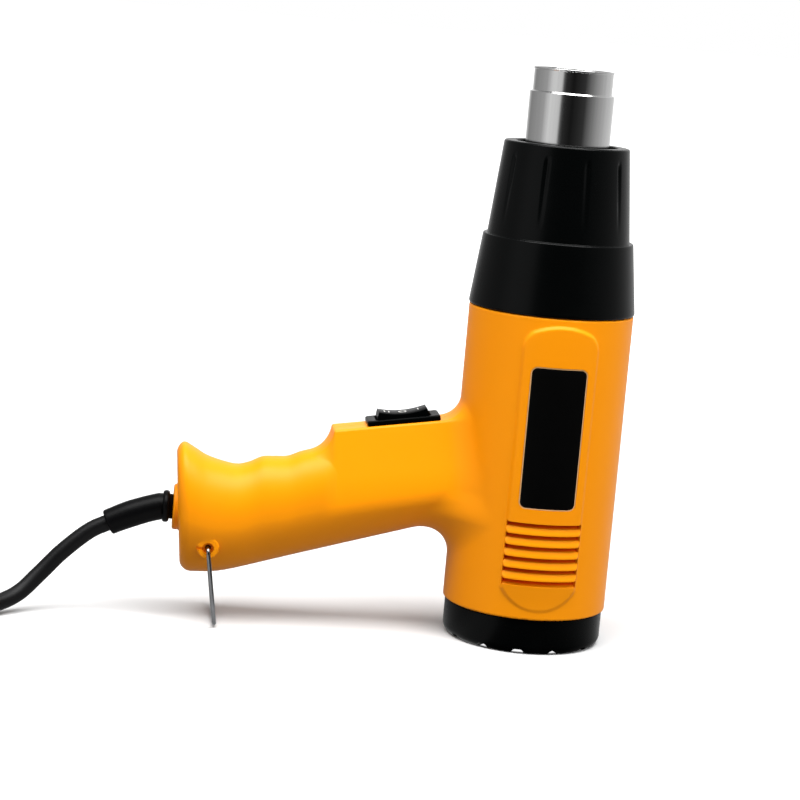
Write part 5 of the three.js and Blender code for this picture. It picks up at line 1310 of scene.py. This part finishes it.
# Outlet nozzle
# Stainless tube, flanged in the guard's spigot and spun to a smaller mouth with a rolled lip; polished,
# with faint turning marks round it and streaks along it.
NOZZLE_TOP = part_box("outlet_nozzle")[1].z / MM
NOZZLE_FOOT = 131.7
NOZZLE_SIDES = 192
NOZZLE_SPLIT = 3.0
FLANGE_OUTER = 30.0
TUBE_RADIUS = 17.5
TUBE_WALL = 0.8
TUBE_BORE = TUBE_RADIUS - TUBE_WALL
MOUTH_RADIUS = 16.4
MOUTH_BORE = MOUTH_RADIUS - TUBE_WALL
MOUTH_STEP = 231.0
MOUTH_LIP = 0.25
nozzle_profile = rounded([
    (TUBE_BORE, NOZZLE_FOOT, 0.3), (FLANGE_OUTER, NOZZLE_FOOT, 0.3), (FLANGE_OUTER, NOZZLE_FOOT + 1, 0.3),
    (TUBE_RADIUS, NOZZLE_FOOT + 1, 0.6), (TUBE_RADIUS, MOUTH_STEP, 0.7), (MOUTH_RADIUS, MOUTH_STEP, 0.35),
    (MOUTH_RADIUS, NOZZLE_TOP - 0.9, 0.2), (MOUTH_RADIUS + MOUTH_LIP, NOZZLE_TOP - 0.75, 0.2),
    (MOUTH_RADIUS + MOUTH_LIP, NOZZLE_TOP, 0.3), (MOUTH_BORE, NOZZLE_TOP, 0.3),
    (MOUTH_BORE, MOUTH_STEP - 0.8, 0.4), (TUBE_BORE, MOUTH_STEP - 1.8, 0.4)], step=15)


def polished_steel():
    finish, start, shader = new_finish("nozzle_steel", {"Metallic": 1.0})
    rings = mottle(start, 6, 3, (0.15, 0.15, 26))
    streaks = mottle(start, 5, 2, (4, 4, 0.05))
    feed(shader, base_color=blend_colour(streaks, (0.58, 0.58, 0.58, 1), (0.68, 0.68, 0.675, 1)),
         roughness=0.12 + 0.08 * (rings - 0.5) + 0.05 * (streaks - 0.5), normal=relief(rings, 0.006))
    return finish


nozzle_shape = turned(sides_of(nozzle_profile, NOZZLE_SPLIT), NOZZLE_SIDES)
nozzle = make_piece("steel_nozzle", nozzle_shape, polished_steel(), 40)
seat(nozzle, "housing", "nozzle", "outlet_nozzle")

# Heater, fan and motor
# Seen only through the mouth and the louvres, so they stay as built: mica cards and sleeve, a resistance
# wire coil, a moulded fan and duct, and the motor's steel, bronze, ferrite and laminations.
METAL = {"metal": 1.0}
inner_stocks = [
    ("mica_sheet", (176, 160, 132), (214, 202, 178), 3.5, 0.38, 0.8, 0.03, {},
     ("mica_sleeve", "heater_card_1", "heater_card_2")),
    ("nichrome", (112, 104, 96), (150, 140, 128), 3, 0.36, 0.3, 0.01, METAL, ("heating_coil",)),
    ("grey_nylon", (56, 57, 58), (70, 71, 72), 14, 0.45, 0.4, 0.015, {},
     ("heater_base", "fan_duct", "fan_wheel", "motor_end_cap", "cord_clamp")),
    ("zinc_plate", (150, 150, 148), (182, 182, 180), 5, 0.3, 0.3, 0.006, METAL,
     ("motor_can", "motor_shaft", "motor_screw_1", "motor_screw_2", "clamp_screw_1", "clamp_screw_2")),
    ("sinter_bronze", (168, 122, 70), (190, 146, 92), 2, 0.42, 0.2, 0.02, METAL,
     ("front_bush", "rear_bush", "commutator")),
    ("ferrite", (44, 44, 46), (58, 58, 60), 4, 0.6, 0.4, 0.02, {}, ("field_magnet_1", "field_magnet_2")),
    ("brush_carbon", (30, 30, 31), (42, 42, 43), 2, 0.55, 0.3, 0.02, {}, ("brush_1", "brush_2")),
    ("laminations", (96, 98, 102), (128, 130, 134), 0.6, 0.4, 0.5, 0.03,
     {"metal": 1.0, "stretch": (0.1, 0.1, 1)}, ("armature",)),
    ("circuit_board", (24, 74, 44), (38, 96, 58), 3, 0.4, 0.5, 0.02, {}, ("rectifier_board",)),
    ("tinned_brass", (190, 166, 112), (208, 190, 142), 3, 0.3, 0.3, 0.006, METAL,
     ("switch_terminal_1", "switch_terminal_2", "switch_terminal_3")),
    ("inner_sheath", (16, 16, 17), (26, 26, 27), 9, 0.5, 0.5, 0.02, {}, ("cord_inner",)),
    ("brown_coat", (84, 44, 22), (98, 54, 28), 6, 0.42, 0.4, 0.015, {}, ("live_wire",)),
    ("blue_coat", (22, 58, 128), (32, 72, 146), 6, 0.42, 0.4, 0.015, {}, ("neutral_wire",)),
    ("red_coat", (148, 22, 20), (166, 32, 28), 6, 0.42, 0.4, 0.015, {}, ("heater_wire",))]
for *look, extra, names in inner_stocks:
    finish = plain_stock(*look, **extra)
    for name in names:
        node = bpy.data.objects[name]
        node.data.materials.clear()
        node.data.materials.append(finish)

# Switch frame
# Snap-in rocker switch, glossy black nylon: a bevelled bezel that lies on the land, a body below it and a
# pocket for the rocker.
BEZEL_HALF_LENGTH = SWITCH_HALF_LENGTH + 1.9
BEZEL_HALF_WIDTH = SWITCH_HALF_WIDTH + 1.0
BEZEL_TOP = CUT_GAP + 2.0
BEZEL_CORNER = 1.0
POCKET_HALF_LENGTH = 11.6
POCKET_HALF_WIDTH = 5.2
POCKET_FLOOR = -4.85
BODY_BOTTOM = -20.0
BODY_CORNER = 0.6
bezel_rise = [(0.15, 0.05), (0, 0.3), (0, BEZEL_TOP - 0.8), (0.12, BEZEL_TOP - 0.35), (0.4, BEZEL_TOP - 0.08),
              (0.8, BEZEL_TOP)]
pocket_fall = [(0.35, BEZEL_TOP), (0.1, BEZEL_TOP - 0.1), (0, BEZEL_TOP - 0.35), (0, POCKET_FLOOR)]
frame_rings = [rectangle(SWITCH_HALF_LENGTH, SWITCH_HALF_WIDTH, BODY_CORNER, height)
               for height in (BODY_BOTTOM, CUT_GAP)]
frame_rings += [rectangle(BEZEL_HALF_LENGTH - draw, BEZEL_HALF_WIDTH - draw, BEZEL_CORNER, height)
                for draw, height in bezel_rise]
frame_rings += [rectangle(POCKET_HALF_LENGTH + flare, POCKET_HALF_WIDTH + flare, BODY_CORNER, height)
                for flare, height in pocket_fall]
switch_black = black_nylon("switch_nylon", 0.26, 0.03)
switch_frame = make_piece("switch_bezel", skin(frame_rings), switch_black)
seat(switch_frame, "housing", "switch", "switch_frame")

# Rocker button
# The rocker, the same glossy nylon: a dished top between two raised ends, on a round-ended body that tilts
# in the pocket. Plain switch marks are printed on it in white.
ROCKER_RADIUS = 11.2
ROCKER_PIVOT = 0.5
ROCKER_HALF_WIDTH = 4.9
ROCKER_CROWN = 4.0
ROCKER_HORN = 5.4
ROCKER_SKIRT = 2.2
ROCKER_WEDGE = 3.0
ROCKER_EDGE = 0.35
ROCKER_END_POINTS = 14
ROCKER_TOP_POINTS = 41
MARK_LIFT = 0.04
MARK_SINK = -0.05
MARK_HALF_STROKE = 0.25
MARK_HALF_LENGTH = 1.3
MARK_X = 6.6
BAR_HALF_PITCH = 0.9
RING_RADIUS = 1.5
RING_STEPS = 36
horn_angle = math.asin((ROCKER_HORN - ROCKER_PIVOT) / ROCKER_RADIUS)
low_angle = -math.asin(ROCKER_SKIRT / ROCKER_RADIUS)
horn_x = ROCKER_RADIUS * math.cos(horn_angle)


def dish(x):
    """Height of the rocker's top along its length."""
    return ROCKER_CROWN + (ROCKER_HORN - ROCKER_CROWN) * (x / horn_x) ** 2


rocker_end = [(ROCKER_RADIUS * math.cos(t), ROCKER_PIVOT + ROCKER_RADIUS * math.sin(t))
              for t in np.linspace(low_angle, horn_angle, ROCKER_END_POINTS)]
rocker_top = [(x, dish(x)) for x in np.linspace(horn_x, -horn_x, ROCKER_TOP_POINTS)[1:-1]]
rocker_outline = [(0, ROCKER_PIVOT - ROCKER_WEDGE)] + rocker_end + rocker_top
rocker_outline += [(-x, z) for x, z in reversed(rocker_end)]
rocker_rings = []
for across, draw in ((-1, 1), (-1, 0.3), (-1, 0), (1, 0), (1, 0.3), (1, 1)):
    y = across * (ROCKER_HALF_WIDTH - ROCKER_EDGE * (1 - draw) ** 2)
    shorter = 1 - ROCKER_EDGE * draw / ROCKER_RADIUS
    lower = 1 - ROCKER_EDGE * draw / ROCKER_HORN
    rocker_rings.append([land_frame @ Vector((x * shorter, y, ROCKER_PIVOT + (z - ROCKER_PIVOT) * lower))
                         for x, z in rocker_outline])
rocker = make_piece("rocker", skin(rocker_rings), switch_black, 32)
seat(rocker, "rocker", "switch", "rocker_button")


def on_dish(x, y, lift):
    return land_frame @ Vector((x, y, dish(x) + lift))


def bar_mark(x):
    near, far, half = x - MARK_HALF_STROKE, x + MARK_HALF_STROKE, MARK_HALF_LENGTH
    corners = [(near, -half), (far, -half), (far, half), (near, half)]
    return skin([[on_dish(*corner, lift) for corner in corners] for lift in (MARK_SINK, MARK_LIFT)])


inner, outer = RING_RADIUS - MARK_HALF_STROKE, RING_RADIUS + MARK_HALF_STROKE
ring_section = [(inner, MARK_SINK), (outer, MARK_SINK), (outer, MARK_LIFT), (inner, MARK_LIFT)]
ring_mark = skin([[on_dish(radius * cosine, radius * sine, lift) for radius, lift in ring_section]
                  for cosine, sine in circle(RING_STEPS)], loop=True)
paint = plain_stock("white_print", (196, 196, 192), (214, 214, 210), 2, 0.5, 0.3, 0.01)
bar_places = (-MARK_X - BAR_HALF_PITCH, -MARK_X + BAR_HALF_PITCH, MARK_X)
bars = [make_piece("bar", bar_mark(x), paint) for x in bar_places]
marks = joined([make_piece("rocker_marks", ring_mark, paint), *bars])
seat(marks, "rocker", "switch")

# Wire bail
# Hanging loop of bright zinc-plated spring wire, its two ends turned in and sprung into the eyes of the
# handle's bosses; it swings on them.
BAIL_WIRE = 0.9
BAIL_LENGTH = 32.2
BAIL_STANDOFF = 1.2
BAIL_BEND = 2.1
BAIL_SIDES = 24
BAIL_SPLIT = 4.0
BAIL_REST = math.radians(8.5)
EYE_DEPTH = 6.0
leg_y = BAIL_BOSS_REACH + BAIL_STANDOFF + BAIL_WIRE
end_y = BAIL_BOSS_REACH - EYE_DEPTH + CUT_GAP
bail_turn = Matrix.Translation(BAIL_PIVOT) @ Matrix.Rotation(-BAIL_REST, 4, "Y")
bail_corners = [(-end_y, 0, 0), (-leg_y, 0, BAIL_BEND), (-leg_y, -BAIL_LENGTH, 2 * BAIL_BEND),
                (leg_y, -BAIL_LENGTH, 2 * BAIL_BEND), (leg_y, 0, BAIL_BEND), (end_y, 0, 0)]
bail_outline = sides_of(rounded(bail_corners, closed=False, step=10), BAIL_SPLIT, closed=False)
bail_path = [bail_turn @ Vector((0, p.x, p.y)) for p in bail_outline]
stations = []
for before, point, after in zip(bail_path[:1] + bail_path, bail_path, bail_path[1:] + bail_path[-1:]):
    stations.append((point, (after - before).normalized(), BAIL_WIRE))
wire_plate = plain_stock("bright_zinc", (112, 113, 115), (150, 151, 153), 4, 0.16, 0.25, 0.006, metal=1.0)
bail = make_piece("hanging_bail", skin(round_rings(stations, BAIL_SIDES)), wire_plate, 50)
seat(bail, "bail", "bail", "wire_bail")

# Floor and light
# A white table, lit from within away from the tool and under its cap, below a large soft box. The steel and
# the black nylon mirror a room that is bright behind and beside them and dark on the camera's side.
FLOOR_HALF = 30.0
GLOW_FROM = 0.3
GLOW_FULL = 1.0
BLACK = (0, 0, 0, 1)
WHITE = (1, 1, 1, 1)
TABLE_SEEN = (0.7, 0.7, 0.7, 1)
TABLE_BOUNCE = (0.2, 0.2, 0.2, 1)
bearings = [(0.0, 0.95), (0.05, 0.9), (0.2, 0.7), (0.3, 0.42), (0.425, 0.04), (0.52, 0.01), (0.58, 0.03),
            (0.6, 0.12), (0.615, 0.78), (0.69, 0.9), (0.75, 0.46), (0.91, 0.3), (1.0, 0.95)]
ROOM = [(place, (grey, grey, grey, 1)) for place, grey in bearings]


def room_light(direction):
    """Brightness of the studio by bearing, from behind round by the right, the camera and the left."""
    x, y = parts(direction, "XY")
    bearing = (x.maths("ARCTAN2", y) / (2 * math.pi) + 1.0).maths("FRACT")
    return bearing.node("ShaderNodeValToRGB", {"stops": ROOM}, {0: bearing})


def light_table():
    finish, start, shader = new_finish("light_table", {"Roughness": 0.9, "Specular IOR Level": 0.0,
                                                       "Emission Strength": 1.0})
    place = start.node("ShaderNodeTexCoord", output="Object")
    reach = length_of(place)
    away = ramp(reach, GLOW_FROM, GLOW_FULL, smooth=True)
    cap_flat = CAP_RADIUS - CAP_CORNER
    under_cap = ramp(reach, (cap_flat - 2) * MM, cap_flat * MM, 1.0, 0.0)
    seen = start.node("ShaderNodeLightPath", output="Is Camera Ray")
    mirrored = start.node("ShaderNodeLightPath", output="Is Glossy Ray")
    glow = blend_colour((away + under_cap) * seen, BLACK, WHITE)
    tint = blend_colour(seen, TABLE_BOUNCE, TABLE_SEEN)
    feed(shader, emission_color=blend_colour(mirrored, glow, room_light(place)),
         base_color=blend_colour(mirrored, tint, BLACK))
    return finish


floor_mesh = bpy.data.meshes.new("floor")
floor_corners = [(x * FLOOR_HALF, y * FLOOR_HALF, 0) for x, y in ((-1, -1), (1, -1), (1, 1), (-1, 1))]
floor_mesh.from_pydata(floor_corners, [], [(0, 1, 2, 3)])
floor_mesh.materials.append(light_table())
add_object("floor", floor_mesh)
world = bpy.data.worlds.new("studio")
world.use_nodes = True
sky = Signal(world.node_tree)
towards = sky.node("ShaderNodeTexCoord", output="Generated")
seen_white = sky.node("ShaderNodeLightPath", output="Is Camera Ray")
backdrop = world.node_tree.nodes["Background"]
backdrop.inputs["Strength"].default_value = 1.0
feed(backdrop, color=blend_colour(seen_white, room_light(towards), WHITE))
bpy.context.scene.world = world


def soft_box(name, place, aim, size, watts):
    light = bpy.data.lights.new(name, "AREA")
    light.shape = "RECTANGLE"
    light.size, light.size_y = size
    light.energy = watts
    lamp = add_object(name, light)
    lamp.matrix_world = (Matrix.Translation(place)
                         @ (Vector(aim) - Vector(place)).to_track_quat("-Z", "Y").to_matrix().to_4x4())
    return lamp


tool_middle = (-0.05, 0, 0.1)
soft_box("overhead", (-0.1, -0.42, 1.5), tool_middle, (2.0, 1.0), 54)
soft_box("fill", (0.9, -1.2, 0.7), tool_middle, (1.0, 0.8), 7).visible_glossy = False
settings = bpy.context.scene.view_settings
settings.view_transform = "Standard"
settings.look = "None"
